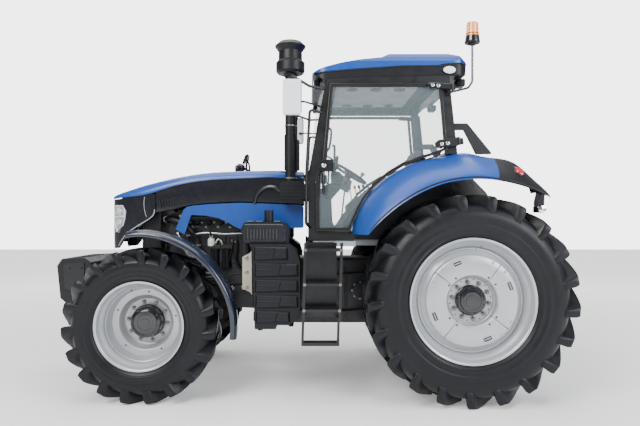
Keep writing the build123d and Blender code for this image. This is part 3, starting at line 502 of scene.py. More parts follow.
def slab_g(poly, off, bev=0.0):
    """A flat outline (3-D points) pushed by the vector off, with a bevelled rim on both faces."""
    P = [Vector(p) for p in poly]
    off = Vector(off)
    n = off.normalized()
    t = off.length
    k = len(P)
    if bev <= 0:
        return loft_rings([P, [p + off for p in P]])
    ins = []
    for i in range(k):
        a, b, c = P[i - 1], P[i], P[(i + 1) % k]
        e1, e2 = (b - a).normalized(), (c - b).normalized()
        m1, m2 = n.cross(e1), n.cross(e2)
        m = (m1 + m2)
        if m.length < 1e-6:
            m = m1
        m = m.normalized() / max(0.35, m.normalized().dot(m1))
        ins.append(m)
    area = Vector((0, 0, 0))
    for i in range(k):
        area += P[i - 1].cross(P[i])
    sgn = 1.0 if area.dot(n) > 0 else -1.0
    small = [p + m * bev * sgn for p, m in zip(P, ins)]
    return loft_rings([small, [p + n * bev for p in P], [p + n * (t - bev) for p in P], [p + off for p in small]])


def box_g(x0, x1, y0, y1, z0, z1, bev=0.004):
    return slab_g([(x0, y0, z0), (x1, y0, z0), (x1, y1, z0), (x0, y1, z0)], (0, 0, z1 - z0), min(bev, abs(x1 - x0) / 3, abs(y1 - y0) / 3, abs(z1 - z0) / 3))


def bolt_g(c, axis, r=0.014, h=0.012):
    """Hexagon head on a washer."""
    v1, f1 = disc_g(c, axis, [(r * 1.45, -0.002), (r * 1.45, 0.003), (r * 1.3, 0.004), (0, 0.004)], 20)
    v2, f2 = disc_g(c, axis, [(r, 0.002), (r, h * 0.85), (r * 0.86, h), (0, h)], 6)
    k = len(v1)
    return v1 + v2, f1 + [tuple(i + k for i in f) for f in f2]


def merge(*parts):
    v, f = [], []
    for a, b in parts:
        k = len(v)
        v += list(a)
        f += [tuple(i + k for i in q) for q in b]
    return v, f


def lx(x):
    return x / 1000.0 + XO


def lz(z):
    return z / 1000.0 + 0.022


def P3(x, y, z):
    """Millimetres from the rear axle and the old datum, to the model's frame."""
    return Vector((lx(x), y / 1000.0, lz(z)))


def interp(t, x):
    if x <= t[0][0]:
        return t[0][1]
    for (a, p), (b, q) in zip(t, t[1:]):
        if x <= b:
            return p + (q - p) * (x - a) / (b - a)
    return t[-1][1]


# ------------------------------------------------------------------ tyres
def tyre(name, body, node, side, cx, cz, yc, R, W, rb, fl, yb, n, lug, wl):
    h = W / 2
    half = [(rb, yb), (fl + 0.004, yb), (fl + 0.012, yb + 0.006), (fl + 0.020, yb + 0.013), (fl + 0.030, yb + 0.019), (fl + 0.034, yb + 0.016), (fl + 0.050, yb + 0.022)]
    a = rb + 0.30 * (R - rb)
    half += [(a - 0.035, h * 0.935), (a, h * 0.958), (a + 0.004, h * 0.968), (a + 0.020, h * 0.974), (a + 0.024, h * 0.968), (rb + 0.42 * (R - rb), h * 0.988), (rb + 0.50 * (R - rb), h * 0.992), (rb + 0.60 * (R - rb), h * 0.985),
             (R - 0.150, h * 0.958), (R - 0.128, h * 0.925), (R - 0.104, h * 0.855), (R - 0.082, h * 0.73), (R - lug - 0.010, h * 0.45), (R - lug, 0.0)]
    prof = half + [(r, -y) for r, y in reversed(half[:-1])]
    seg = 150
    rings = []
    for r, y in prof:
        rings.append([(cx + r * math.cos(t), side * (yc + y), cz + r * math.sin(t)) for t in [2 * math.pi * k / seg for k in range(seg)]])
    rings.append(rings[0])
    v, f = loft_rings(rings, cap=False)
    B = Build(name, ["rubber"], body, "tyre_rubber", 40)
    B.add(v, f)
    # bars: pairs of (outer, root) points from the centre line over the shoulder and down the wall
    top = [(-0.018, R - 0.006), (0.03, R - 0.006), (0.25 * h, R - 0.004), (0.45 * h, R - 0.002), (0.65 * h, R - 0.001), (0.80 * h, R - 0.001), (0.90 * h, R - 0.004), (0.955 * h, R - 0.011), (0.980 * h, R - 0.030), (0.990 * h, R - 0.075), (0.992 * h, R - 0.118), (0.988 * h, R - 0.145)]
    root = [(-0.018, R - lug - 0.01), (0.03, R - lug - 0.01), (0.25 * h, R - lug - 0.012), (0.45 * h, R - lug - 0.018), (0.62 * h, R - lug - 0.030), (0.70 * h, R - lug - 0.040), (0.77 * h, R - lug - 0.052), (0.82 * h, R - lug - 0.062), (0.86 * h, R - lug - 0.075), (0.89 * h, R - lug - 0.088), (0.91 * h, R - lug - 0.10), (0.93 * h, R - lug - 0.115)]
    sweep = [0.0, 0.05, 0.20, 0.36, 0.53, 0.67, 0.77, 0.83, 0.86, 0.89, 0.91, 0.92]
    pitch = 2 * math.pi / n
    total = pitch * 1.0
    wid = [0.80, 0.90, 0.95, 1.0, 1.08, 1.16, 1.22, 1.26, 1.24, 1.14, 1.0, 0.7]
    for hand in (1, -1):
        for k in range(n):
            a0 = k * pitch + (0.0 if hand > 0 else pitch / 2)
            sec = []
            for (yt, rt), (yr, rr), s, wk in zip(top, root, sweep, wid):
                # the centre end leads as the wheel rolls forward
                ang = a0 + total * s
                w = wl * wk
                c = 0.005
                row = []
                for du, kind in ((-w / 2 - 0.012, 0), (-w / 2 - 0.003, 1), (-w / 2 + c, 2), (w / 2 - c, 2), (w / 2 + 0.003, 1), (w / 2 + 0.012, 0)):
                    if kind == 0:
                        y, r = yr, rr
                    elif kind == 1:
                        q = 0.86
                        y, r = yr + (yt - yr) * q, rr + (rt - rr) * q
                    else:
                        y, r = yt, rt
                    t = ang + du / R
                    row.append((cx + r * math.cos(t), side * yc + hand * y, cz + r * math.sin(t)))
                sec.append(row)
            v, f = loft_rings(sec, closed=True, cap=True)
            B.add(v, f)
    o = B.done()
    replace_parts(o, node)
    return o


for tag, s in (("left", 1), ("right", -1)):
    tyre(f"tread_rear_{tag}", f"rear_wheel_{tag}", f"rear_wheel_{tag}_tyre", s, XO, 0.940, 0.970, 0.940, 0.530, 0.533, 0.559, 0.229, 21, 0.050, 0.062)
    tyre(f"tread_front_{tag}", f"front_wheel_{tag}", f"front_wheel_{tag}_tyre", s, lx(2959), 0.700, 0.890, 0.700, 0.440, 0.381, 0.406, 0.189, 19, 0.046, 0.056)


# ------------------------------------------------------------------ wheels
def wheel_rear(tag, s):
    B = Build(f"wheel_rear_{tag}_finish", ["silver", "gloss_black", "zinc", "dark_and_painted_shade"], f"rear_wheel_{tag}", "wheel_silver", 30)
    cx, cz = XO, 0.940
    ax = (0, s, 0)

    def at(r, a, y):
        return (cx + r * math.cos(a), s * y, cz + r * math.sin(a))
    c0 = (cx, 0, cz)
    # rim barrel: flange lip, bead seat, well, and the stepped edge of the dished disc
    o = 0.970 + 0.240
    prof = [(0.548, o - 0.013), (0.557, o - 0.010), (0.5595, o - 0.003), (0.5575, o + 0.001), (0.550, o + 0.002), (0.541, o - 0.002), (0.534, o - 0.010), (0.527, o - 0.030), (0.522, o - 0.050), (0.512, o - 0.062), (0.497, o - 0.078), (0.486, o - 0.092), (0.482, o - 0.105), (0.476, o - 0.118), (0.472, o - 0.140)]
    rings = [[at(r, 2 * math.pi * k / 120, y) for k in range(120)] for r, y in prof]
    rings = [q + [q[0]] for q in rings]
    B.add(*loft_rings(rings, closed=False, cap=False))
    # back side of the barrel, seen from inside
    bi = 0.970 - 0.240
    prof = [(0.556, bi + 0.008), (0.5595, bi + 0.002), (0.556, bi - 0.001), (0.545, bi - 0.001), (0.528, bi + 0.010), (0.520, bi + 0.050), (0.500, bi + 0.075), (0.462, bi + 0.100), (0.462, o - 0.120), (0.472, o - 0.140)]
    rings = [[at(r, 2 * math.pi * k / 120, y) for k in range(120)] for r, y in prof]
    rings = [q + [q[0]] for q in rings]
    B.add(*loft_rings(rings, closed=False, cap=False))
    dy = 1.108
    # disc: outer cone, flat, inner dish
    prof = [(0.474, dy - 0.020), (0.466, dy - 0.012), (0.455, dy - 0.010), (0.446, dy - 0.016), (0.436, dy - 0.012), (0.412, dy + 0.004), (0.2095, dy + 0.006), (0.204, dy + 0.002), (0.196, dy - 0.014), (0.190, dy - 0.0155), (0.060, dy - 0.0155), (0.060, dy - 0.034), (0.200, dy - 0.034), (0.400, dy - 0.020), (0.474, dy - 0.036)]
    rings = [[at(r, 2 * math.pi * k / 120, y) for k in range(120)] for r, y in prof]
    rings = [q + [q[0]] for q in rings]
    B.add(*loft_rings(rings, closed=False, cap=False))
    # ring weight: flat annulus with a rounded rim, in four castings, with a dark strip under each gap between them as
    # painted shade
    seams = [math.radians(d) for d in (38, 128, 218, 308)]
    yy = dy + 0.058
    wp = [(0.409, dy + 0.004), (0.4105, dy + 0.030), (0.409, dy + 0.046), (0.402, yy - 0.003), (0.394, yy + 0.001), (0.330, yy + 0.005), (0.245, yy + 0.007), (0.232, yy + 0.005), (0.222, yy - 0.004), (0.214, dy + 0.040), (0.212, dy + 0.004)]
    nseg = 34
    for q in range(4):
        a0, a1 = seams[q] + 0.0085, seams[(q + 1) % 4] + (2 * math.pi if q == 3 else 0) - 0.0085
        rings = []
        for k in range(nseg + 1):
            a = a0 + (a1 - a0) * k / nseg
            rings.append([at(r, a, y) for r, y in wp])
        B.add(*loft_rings(rings))
        a = seams[q]
        # dark strip under the seam: painted shade in the gap
        B.add(*slab_g([at(0.224, a - 0.016, yy - 0.010), at(0.224, a + 0.016, yy - 0.010), at(0.400, a + 0.011, yy - 0.010), at(0.400, a - 0.011, yy - 0.010)], (0, s * 0.003, 0), 0.0008), 3)
    # lifting recesses: a raised rim round a pocket floored in the dark finish as painted shade
    for d in (68, 158, 248, 338):
        a = math.radians(d)
        er = Vector((math.cos(a), 0, math.sin(a)))
        et = Vector((-math.sin(a), 0, math.cos(a)))
        cc = Vector(at(0.356, a, yy + 0.0035))
        out = Vector((0, s, 0))

        def ring(w, hgt, d_):
            pts = []
            for sx, sy in ((1, 1), (-1, 1), (-1, -1), (1, -1)):
                for j in range(5):
                    b = (0 if (sx, sy) == (1, 1) else 1 if (sx, sy) == (-1, 1) else 2 if (sx, sy) == (-1, -1) else 3) * math.pi / 2 + j * math.pi / 8
                    rr = 0.007
                    pts.append(cc + et * (sx * (w - rr) + rr * math.cos(b)) + er * (sy * (hgt - rr) + rr * math.sin(b)) + out * d_)
            return pts
        B.add(*loft_rings([ring(0.046, 0.026, -0.002), ring(0.046, 0.026, 0.002), ring(0.042, 0.022, 0.003), ring(0.037, 0.017, 0.0008)]), 0)
        # pocket floor in the dark finish: painted shade
        B.add(*loft_rings([ring(0.0368, 0.0168, 0.0006), ring(0.0364, 0.0164, 0.0016)]), 3)
        B.add(*tube_g([cc - et * 0.030 + out * 0.001, cc + et * 0.030 + out * 0.001], 0.0045, 10), 0)
    for d in (48, 118, 138, 208, 228, 298, 318, 28):
        a = math.radians(d)
        B.add(*bolt_g(at(0.385, a, yy + 0.002), ax, 0.009, 0.010), 0)
        # small discs in the dark finish on the weight's face: painted shade
        B.add(*disc_g(at(0.250, a + 0.1, yy + 0.006), ax, [(0.009, 0.0), (0.009, 0.0015), (0.006, 0.002), (0.0, 0.0015)], 18), 3)
    # hub: studs, black stepped cap
    for k in range(10):
        a = 2 * math.pi * k / 10 + 0.16
        B.add(*bolt_g(at(0.164, a, dy - 0.0150), ax, 0.0165, 0.020), 2)
        B.add(*disc_g(at(0.164, a, dy + 0.004), ax, [(0.0085, 0), (0.0085, 0.014), (0.006, 0.017), (0, 0.017)], 14), 2)
        # discs in the dark finish between the studs: painted shade
        B.add(*disc_g(at(0.184, a + math.pi / 10, dy - 0.0152), ax, [(0.006, 0.0), (0.006, 0.001), (0, 0.001)], 12), 3)
    B.add(*disc_g((cx, s * (dy - 0.016), cz), ax, [(0.137, 0.0), (0.137, 0.006), (0.132, 0.012), (0.127, 0.014), (0.127, 0.048), (0.120, 0.056), (0.108, 0.058), (0.106, 0.062), (0.100, 0.072), (0.080, 0.074), (0.078, 0.070), (0.056, 0.070), (0.054, 0.074), (0.0, 0.0745)], 56), 1)
    for k in range(6):
        a = 2 * math.pi * k / 6 + 0.3
        B.add(*bolt_g(at(0.115, a, dy + 0.041), ax, 0.0055, 0.007), 1)
    # valve stem
    a = math.radians(100)
    B.add(*tube_g([at(0.478, a, dy - 0.03), at(0.490, a, dy + 0.010), at(0.486, a, dy + 0.034)], [0.006, 0.005, 0.004], 10), 2)
    o_ = B.done()
    return o_


def wheel_front(tag, s):
    B = Build(f"wheel_front_{tag}_finish", ["silver", "gloss_black", "zinc", "dark_and_painted_shade"], f"front_wheel_{tag}", "wheel_silver", 30)
    cx, cz = lx(2959), 0.700
    ax = (0, s, 0)

    def at(r, a, y):
        return (cx + r * math.cos(a), s * y, cz + r * math.sin(a))
    o, bi = 0.890 + 0.200, 0.890 - 0.200

    def turn(prof, m=0, n=100):
        rings = [[at(r, 2 * math.pi * k / n, y) for k in range(n)] for r, y in prof]
        rings = [q + [q[0]] for q in rings]
        B.add(*loft_rings(rings, closed=False, cap=False), m)
    turn([(0.396, o - 0.012), (0.404, o - 0.008), (0.4065, o - 0.002), (0.4045, o + 0.001), (0.398, o + 0.0015), (0.389, o - 0.002), (0.382, o - 0.010), (0.376, o - 0.030), (0.371, o - 0.048), (0.360, o - 0.062), (0.346, o - 0.084), (0.341, o - 0.100), (0.338, o - 0.150), (0.334, o - 0.165),
          (0.318, 0.862), (0.312, 0.853), (0.300, 0.850), (0.266, 0.846), (0.256, 0.842), (0.250, 0.834), (0.244, 0.806), (0.238, 0.790), (0.224, 0.774), (0.216, 0.769), (0.205, 0.766), (0.118, 0.7635), (0.118, 0.7485), (0.222, 0.7485), (0.262, 0.832), (0.318, 0.843), (0.322, bi + 0.095), (0.346, bi + 0.075), (0.372, bi + 0.05), (0.376, bi + 0.01), (0.392, bi), (0.404, bi - 0.001), (0.4065, bi + 0.004), (0.404, bi + 0.01)])
    # second step inside the barrel
    turn([(0.338, o - 0.118), (0.334, o - 0.120), (0.332, o - 0.124), (0.334, o - 0.129), (0.338, o - 0.130)])
    for k in range(10):
        a = 2 * math.pi * k / 10 + 0.1
        B.add(*bolt_g(at(0.184, a, 0.7645), ax, 0.0155, 0.018), 2)
        B.add(*disc_g(at(0.184, a, 0.781), ax, [(0.008, 0), (0.008, 0.012), (0.006, 0.015), (0, 0.015)], 14), 2)
        # discs in the dark finish on the disc face: painted shade
        B.add(*disc_g(at(0.286, a + 0.31, 0.8485), ax, [(0.0085, 0.0), (0.0085, 0.0012), (0, 0.0012)], 16), 3) if k % 2 == 0 else None
    # planetary hub cap
    B.add(*disc_g((cx, s * 0.7625, cz), ax, [(0.157, 0.0), (0.157, 0.010), (0.152, 0.016), (0.147, 0.018), (0.146, 0.086), (0.142, 0.098), (0.134, 0.106), (0.118, 0.110), (0.108, 0.114), (0.106, 0.1195), (0.070, 0.1215), (0.068, 0.118), (0.040, 0.118), (0.038, 0.1215), (0.0, 0.1225)], 60), 1)
    for k in range(8):
        a = 2 * math.pi * k / 8 + 0.2
        B.add(*bolt_g(at(0.127, a, 0.870), ax, 0.006, 0.008), 1)
        B.add(*slab_g([at(0.1465, a - 0.03, 0.785), at(0.1465, a + 0.03, 0.785), at(0.1465, a + 0.03, 0.850), at(0.1465, a - 0.03, 0.850)], Vector((math.cos(a), 0, math.sin(a))) * 0.006, 0.002), 1)
    a = math.radians(70)
    B.add(*tube_g([at(0.330, a, 0.90), at(0.322, a, 0.94), at(0.326, a, 0.965)], [0.006, 0.005, 0.004], 10), 2)
    return B.done()


for tag, s in (("left", 1), ("right", -1)):
    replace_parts(wheel_rear(tag, s), f"rear_wheel_{tag}_rim")
    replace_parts(wheel_front(tag, s), f"front_wheel_{tag}_rim")
    # inner hubs and axle flanges, behind the discs
    B = Build(f"hub_inner_rear_{tag}", ["chassis"], f"rear_wheel_{tag}", "iron", 30)
    B.add(*disc_g((XO, s * 0.742, 0.940), (0, s, 0), [(0.055, -0.18), (0.055, 0.0), (0.118, 0.0), (0.124, 0.006), (0.150, 0.018), (0.150, 0.158), (0.142, 0.170), (0.122, 0.250), (0.120, 0.315), (0.166, 0.324), (0.168, 0.334), (0.0, 0.334)], 48))
    for k in range(12):
        a = 2 * math.pi * k / 12
        B.add(*bolt_g((XO + 0.136 * math.cos(a), s * 0.751, 0.940 + 0.136 * math.sin(a)), (0, -s, 0), 0.011, 0.012))
    B.done()
    B = Build(f"hub_inner_front_{tag}", ["chassis"], f"front_wheel_{tag}", "iron", 30)
    B.add(*disc_g((lx(2959), s * 0.705, 0.700), (0, s, 0), [(0.0625, 0.0), (0.118, 0.0), (0.128, 0.008), (0.130, 0.014), (0.130, 0.044), (0.0, 0.044)], 48))
    B.done()


# ------------------------------------------------------------------ nose, lamps, hood
NOSE = [(2950, 404), (2990, 399), (3100, 386), (3220, 364), (3340, 332), (3423, 288), (3466, 228), (3490, 120), (3498, 0)]


def nose_y(x, off=0.0):
    return (interp(NOSE, x) - off) / 1000.0


def nose_path(x0, x1, z0, z1, off, n=14, zf=None):
    out = []
    for k in range(n + 1):
        t = k / n
        x = x0 + (x1 - x0) * t
        z = z0 + (z1 - z0) * t if zf is None else zf(t)
        out.append((x, nose_y(x, off), z))
    return out


for tag, s in (("left", 1), ("right", -1)):
    B = Build(f"headlamp_{tag}_inside", ["white", "chrome", "plastic", "clear"], "hood", "lamp", 35)
    # housing that follows the lens, 22 mm behind it
    rows = []
    for z in (1510, 1580, 1650, 1720, 1780):
        xa = interp([(1500, 3392), (1560, 3345), (1640, 3318), (1722, 3305), (1786, 3345)], z) + 6
        row = []
        for k in range(15):
            x = xa + (3470 - xa) * k / 14
            y = nose_y(x, 26 + 8 * math.sin(k * math.pi / 14))
            row.append(P3(x, s * y * 1000, z))
        rows.append(row)
    B.add(*loft_rings(rows, closed=False, cap=False), 2)
    # light-grey guide frame round the unit
    pts = [(3330, 1716), (3342, 1778), (3410, 1778), (3462, 1776), (3468, 1690), (3458, 1600), (3420, 1520), (3398, 1512), (3352, 1565), (3326, 1642)]
    loop = [P3(x, s * nose_y(x, 17) * 1000, z) for x, z in pts]
    loop = smooth_path(loop + [loop[0]], 5)
    B.add(*tube_g(loop, 0.0085, 10), 0)
    mid = smooth_path([P3(x, s * nose_y(x, 18) * 1000, z) for x, z in ((3335, 1668), (3385, 1672), (3430, 1664), (3464, 1655))], 5)
    B.add(*tube_g(mid, 0.006, 8), 0)
    # two projector bowls and a cluster of small emitters
    for cx, cz, r in ((3400, 1725, 0.036), (3398, 1612, 0.032)):
        nrm = Vector((0.72, s * 0.69, 0)).normalized()
        c = P3(cx, s * nose_y(cx, 22) * 1000, cz)
        B.add(*disc_g(c - nrm * 0.012, nrm, [(r * 0.5, -0.012), (r * 0.7, -0.006), (r * 0.92, 0.006), (r, 0.016), (r * 1.08, 0.017), (r * 1.12, 0.010)], 28), 1)
        B.add(*disc_g(c - nrm * 0.012, nrm, [(r * 0.62, -0.002), (r * 0.58, 0.008), (r * 0.42, 0.016), (r * 0.2, 0.020), (0, 0.021)], 24), 3)
        for k in range(3):
            for j in range(2):
                q = P3(cx + 34 - 3 * j, s * nose_y(cx + 34, 20) * 1000, cz + 24 - 24 * k)
                B.add(*box_g(q.x - 0.008, q.x + 0.006, q.y - 0.010, q.y + 0.006, q.z - 0.007 + j * 0.001, q.z + 0.008, 0.002), 0)
    B.done()
    # bead line and seams on the nose side
    B = Build(f"nose_trim_{tag}", ["grey", "gloss_black", "plastic"], "hood", "gloss_black", 35)
    path = [(3000, 1740), (3010, 1690), (3045, 1652), (3120, 1606), (3200, 1560), (3290, 1500), (3352, 1432), (3392, 1368)]
    B.add(*tube_g(smooth_path([P3(x, s * (nose_y(x) * 1000 + 2.5), z) for x, z in path], 6), 0.0048, 8), 0)
    path = [(3105, 1868), (3112, 1820), (3110, 1760), (3098, 1700), (3085, 1665)]
    B.add(*tube_g(smooth_path([P3(x, s * (nose_y(x) * 1000 - 0.5), z) for x, z in path], 5), 0.003, 8), 0)
    # corner strip under the lamp
    path = [(3345, 1566), (3380, 1528), (3420, 1500), (3452, 1486)]
    B.add(*tube_g(smooth_path([P3(x, s * (nose_y(x) * 1000 + 1), z) for x, z in path], 5), 0.007, 8), 1)
    B.done()
    # vents in the upper side band
    B = Build(f"side_band_trim_{tag}", ["plastic", "gloss_black"], "hood", "black_plastic", 35)
    for k in range(9):
        x = 2715 + k * 26
        z0 = 1800 - k * 5
        B.add(*slab_g([P3(x, s * 410, z0), P3(x + 15, s * 409, z0 - 2), P3(x + 32, s * 408, z0 + 64), P3(x + 17, s * 409, z0 + 66)], (0, s * 0.006, 0), 0.002), 0)
    B.done()

# grille: frame, honeycomb mesh and bars across the front opening
B = Build("nose_grille", ["plastic", "gloss_black"], "hood", "black_plastic", 35)
cell = 0.026
for j in range(16):
    for i in range(-6, 7):
        y = i * cell * 1.05 + (cell * 0.525 if j % 2 else 0)
        z = lz(1425) + j * cell * 0.88
        if abs(y) > 0.165:
            continue
        ring = []
        for r_, x_ in ((0.0125, 0.0), (0.0125, 0.010), (0.0105, 0.010), (0.0105, 0.0)):
            ring.append([(lx(3464) + x_, y + r_ * math.cos(a), z + r_ * math.sin(a)) for a in [math.pi / 6 + k * math.pi / 3 for k in range(6)]])
        v, f = loft_rings(ring + [ring[0]], cap=False)
        B.add(v, f, 0)
for z in (1418, 1792):
    B.add(*tube_g(smooth_path([P3(nx, y, z) for nx, y in ((3470, -184), (3482, -90), (3486, 0), (3482, 90), (3470, 184))], 5), 0.009, 10), 1)
for y in (-178, 178):
    B.add(*tube_g([P3(3474, y, 1410), P3(3476, y, 1800)], 0.009, 10), 1)
B.add(*slab_g([P3(3472, -60, 1590), P3(3472, 60, 1590), P3(3472, 48, 1640), P3(3472, -48, 1640)], (0.012, 0, 0), 0.003), 1)
B.done()

# hood: two raised rubber lines along the top edges, and a strip on each shoulder
B = Build("hood_trim", ["gloss_black", "seal", "zinc"], "hood", "gloss_black", 35)
SHO_ = [(1490, 2052), (1700, 2056), (2133, 2051), (2436, 2035), (2637, 2010), (2789, 1980), (2890, 1948), (3041, 1902), (3142, 1880), (3395, 1856), (3470, 1848)]
WID_ = [(1490, 425), (2100, 427), (2600, 420), (2900, 406), (3100, 388), (3220, 366), (3340, 334), (3425, 292), (3470, 238)]
for s in (1, -1):
    pts = [P3(x, s * (interp(WID_, x) + 1.0), interp(SHO_, x) - 2) for x in range(1495, 3400, 60)]
    B.add(*tube_g(smooth_path(pts, 2), 0.0035, 8), 1)
    # shoulder strip, on the far shoulder in the picture and its twin
    pts = [P3(x, s * (interp(WID_, x) * 0.90), interp(SHO_, x) + 67) for x in range(1560, 1960, 50)]
    B.add(*tube_g(pts, 0.006, 8), 0)
B.done()


# ------------------------------------------------------------------ tanks, engine bay
M["beige"] = paint("bracket_primer", (0.33, 0.31, 0.25), rough=0.5, coat=0.1, vary=0.15, dust=0.15)
M["bottle"] = plastic("bottle_white", (0.62, 0.64, 0.60), rough=0.35, grain=0.03, dust=0.1)
def hug(b, z):
    """Keeps the loose lines close to the engine, clear of the steered wheel and its wing."""
    return min(b, 240 if z < 1140 else 284 if z < 1480 else 400)


FRONT_X = [(643, 1930), (1180, 1945), (1380, 1955), (1415, 2000)]
REAR_X = [(643, 1727), (679, 1619), (743, 1519), (1251, 1519), (1342, 1546), (1400, 1619)]
for tag, s in (("left", 1), ("right", -1)):
    B = Build(f"tank_shell_{tag}", ["plastic", "plastic_gloss", "dark_and_painted_shade", "zinc"], "chassis", "black_plastic", 35)
    bands = [(1262, 1396), (1112, 1246), (972, 1096), (828, 956), (694, 812)]
    for i, (z0, z1) in enumerate(bands):
        xf = min(interp(FRONT_X, z0), interp(FRONT_X, z1)) - 12
        xr = max(interp(REAR_X, z0), interp(REAR_X, z1)) + 12
        xm = xr + (xf - xr) * 0.50
        # forward half: two stacked ribs; rear half: one swelling pad with a groove
        zm = (z0 + z1) / 2
        B.add(*slab_g([P3(xr, s * 1004, z0 + 8), P3(xf, s * 1004, z0 + 2), P3(xf - 5, s * 1004, z1 - 2), P3(xr + 6, s * 1004, z1 - 8)], (0, s * 0.020, 0), 0.011), 0)
        B.add(*slab_g([P3(xr + 10, s * 1020, z0 + 20), P3(xm - 14, s * 1020, z0 + 20), P3(xm - 40, s * 1020, z1 - 16), P3(xr + 16, s * 1020, z1 - 20)], (0, s * 0.010, 0), 0.006), 0)
        B.add(*slab_g([P3(xm + 16, s * 1022, zm - 7), P3(xf - 16, s * 1022, zm - 7), P3(xf - 18, s * 1022, zm + 7), P3(xm + 10, s * 1022, zm + 7)], (0, s * 0.006, 0), 0.003), 0)
        # strap-like ribs round the front face
        B.add(*slab_g([P3(xf + 14, s * 600, z0 + 18), P3(xf + 14, s * 985, z0 + 18), P3(xf + 14, s * 985, z1 - 18), P3(xf + 14, s * 600, z1 - 18)], (0.010, 0, 0), 0.004), 0)
    # top cover: slotted cheek, rim and bumps
    B.add(*slab_g([P3(2038, s * 986, 1430), P3(1640, s * 986, 1430), P3(1640, s * 986, 1552), P3(1684, s * 986, 1594), P3(2024, s * 986, 1594), P3(2050, s * 986, 1535)], (0, s * 0.016, 0), 0.006), 1)
    for k in range(10):
        x = 1726 + k * 29
        # strips in the dark finish between the ribs: painted shade in the slots
        B.add(*slab_g([P3(x, s * 1001, 1462), P3(x + 13, s * 1001, 1462), P3(x + 13, s * 1001, 1548), P3(x, s * 1001, 1548)], (0, s * 0.0028, 0), 0.001), 2)
        B.add(*slab_g([P3(x + 15, s * 1001, 1456), P3(x + 26, s * 1001, 1456), P3(x + 26, s * 1001, 1554), P3(x + 15, s * 1001, 1554)], (0, s * 0.006, 0), 0.002), 0)
    for x0, x1 in ((1700, 1760), (1860, 1930), (1945, 2010)):
        B.add(*slab_g([P3(x0, s * 700, 1608), P3(x1, s * 700, 1608), P3(x1, s * 940, 1608), P3(x0, s * 940, 1608)], (0, 0, 0.016), 0.007), 1)
    for x, z in ((1660, 1450), (1660, 1530), (2028, 1450)):
        B.add(*bolt_g(P3(x, s * 1001, z), (0, s, 0), 0.008, 0.008), 1)
    # straps under the tank
    for x in (1600, 1880):
        B.add(*slab_g([P3(x - 22, s * 620, 672 if x < 1700 else 640), P3(x + 22, s * 620, 672 if x < 1700 else 636), P3(x + 22, s * 1000, 672 if x < 1700 else 636), P3(x - 22, s * 1000, 672 if x < 1700 else 640)], (0, 0, -0.008), 0.002), 2)
    B.done()
    # front bracket of the tank
    B = Build(f"tank_bracket_{tag}", ["beige", "zinc", "chassis"], "chassis", "iron", 35)
    B.add(*slab_g([P3(1960, s * 720, 950), P3(1960, s * 930, 950), P3(1964, s * 930, 1340), P3(1964, s * 790, 1352), P3(1964, s * 720, 1300)], (0.012, 0, 0), 0.003), 0)
    B.add(*slab_g([P3(1972, s * 905, 960), P3(2052, s * 905, 1000), P3(2052, s * 905, 1290), P3(1972, s * 905, 1335)], (0, s * 0.012, 0), 0.003), 0)
    for z in (1010, 1150, 1280):
        B.add(*bolt_g(P3(2012, s * 917, z), (0, s, 0), 0.013, 0.014), 1)
    B.done()

    # engine dress-up
    B = Build(f"engine_dress_{tag}", ["chassis", "steel", "seal", "bottle", "zinc", "plastic"], "chassis", "iron", 35)
    y = lambda v: s * v
    # rocker cover and manifold
    B.add(*slab_g([P3(2040, y(120), 1700), P3(2800, y(120), 1700), P3(2800, y(238), 1700), P3(2040, y(238), 1700)], (0, 0, 0.050), 0.016), 0)
    for k in range(6):
        x = 2090 + k * 126
        B.add(*tube_g(smooth_path([P3(x, y(245), 1600), P3(x, y(300), 1612), P3(x, y(325), 1650)], 4), 0.026, 12), 0)
        B.add(*bolt_g(P3(x - 42, y(246), 1610), (0, s, 0), 0.010, 0.010), 4)
        B.add(*bolt_g(P3(x + 42, y(246), 1560), (0, s, 0), 0.010, 0.010), 4)
        B.add(*slab_g([P3(x - 45, y(244), 1180), P3(x + 45, y(244), 1180), P3(x + 45, y(244), 1480), P3(x - 45, y(244), 1480)], (0, s * 0.012, 0), 0.006), 0)
    B.add(*tube_g([P3(2050, y(330), 1660), P3(2760, y(330), 1660)], 0.042, 16), 0)
    # filters, pump, starter
    for x, z0, z1, r in ((2290, 1130, 1330, 0.052), (2410, 1150, 1330, 0.048)):
        B.add(*disc_g(P3(x, y(240), z0), (0, 0, 1), [(0, 0), (r * 0.8, 0.0), (r * 0.96, 0.008), (r, 0.02), (r, (z1 - z0) / 1000 - 0.02), (r * 1.06, (z1 - z0) / 1000 - 0.014), (r * 1.06, (z1 - z0) / 1000), (0, (z1 - z0) / 1000)], 28), 5)
        B.add(*box_g(lx(x - 56), lx(x + 56), min(y(0.200), y(0.298)), max(y(0.200), y(0.298)), lz(z1), lz(z1 + 46), 0.010), 0)
    B.add(*disc_g(P3(2560, y(198), 1060), (-1, 0, 0), [(0, 0), (0.052, 0.0), (0.058, 0.008), (0.058, 0.19), (0.05, 0.20), (0.034, 0.21), (0.034, 0.27), (0, 0.27)], 28), 0)
    B.add(*disc_g(P3(2550, y(250), 1150), (-1, 0, 0), [(0, 0), (0.026, 0.0), (0.03, 0.006), (0.03, 0.13), (0, 0.134)], 20), 0)
    # overflow bottle
    B.add(*disc_g(P3(2448, y(268), 1360), (0, 0, 1), [(0, 0), (0.030, 0.0), (0.036, 0.006), (0.036, 0.070), (0.030, 0.082), (0.016, 0.090), (0.016, 0.098), (0.020, 0.099), (0.020, 0.114), (0, 0.115)], 24), 3)
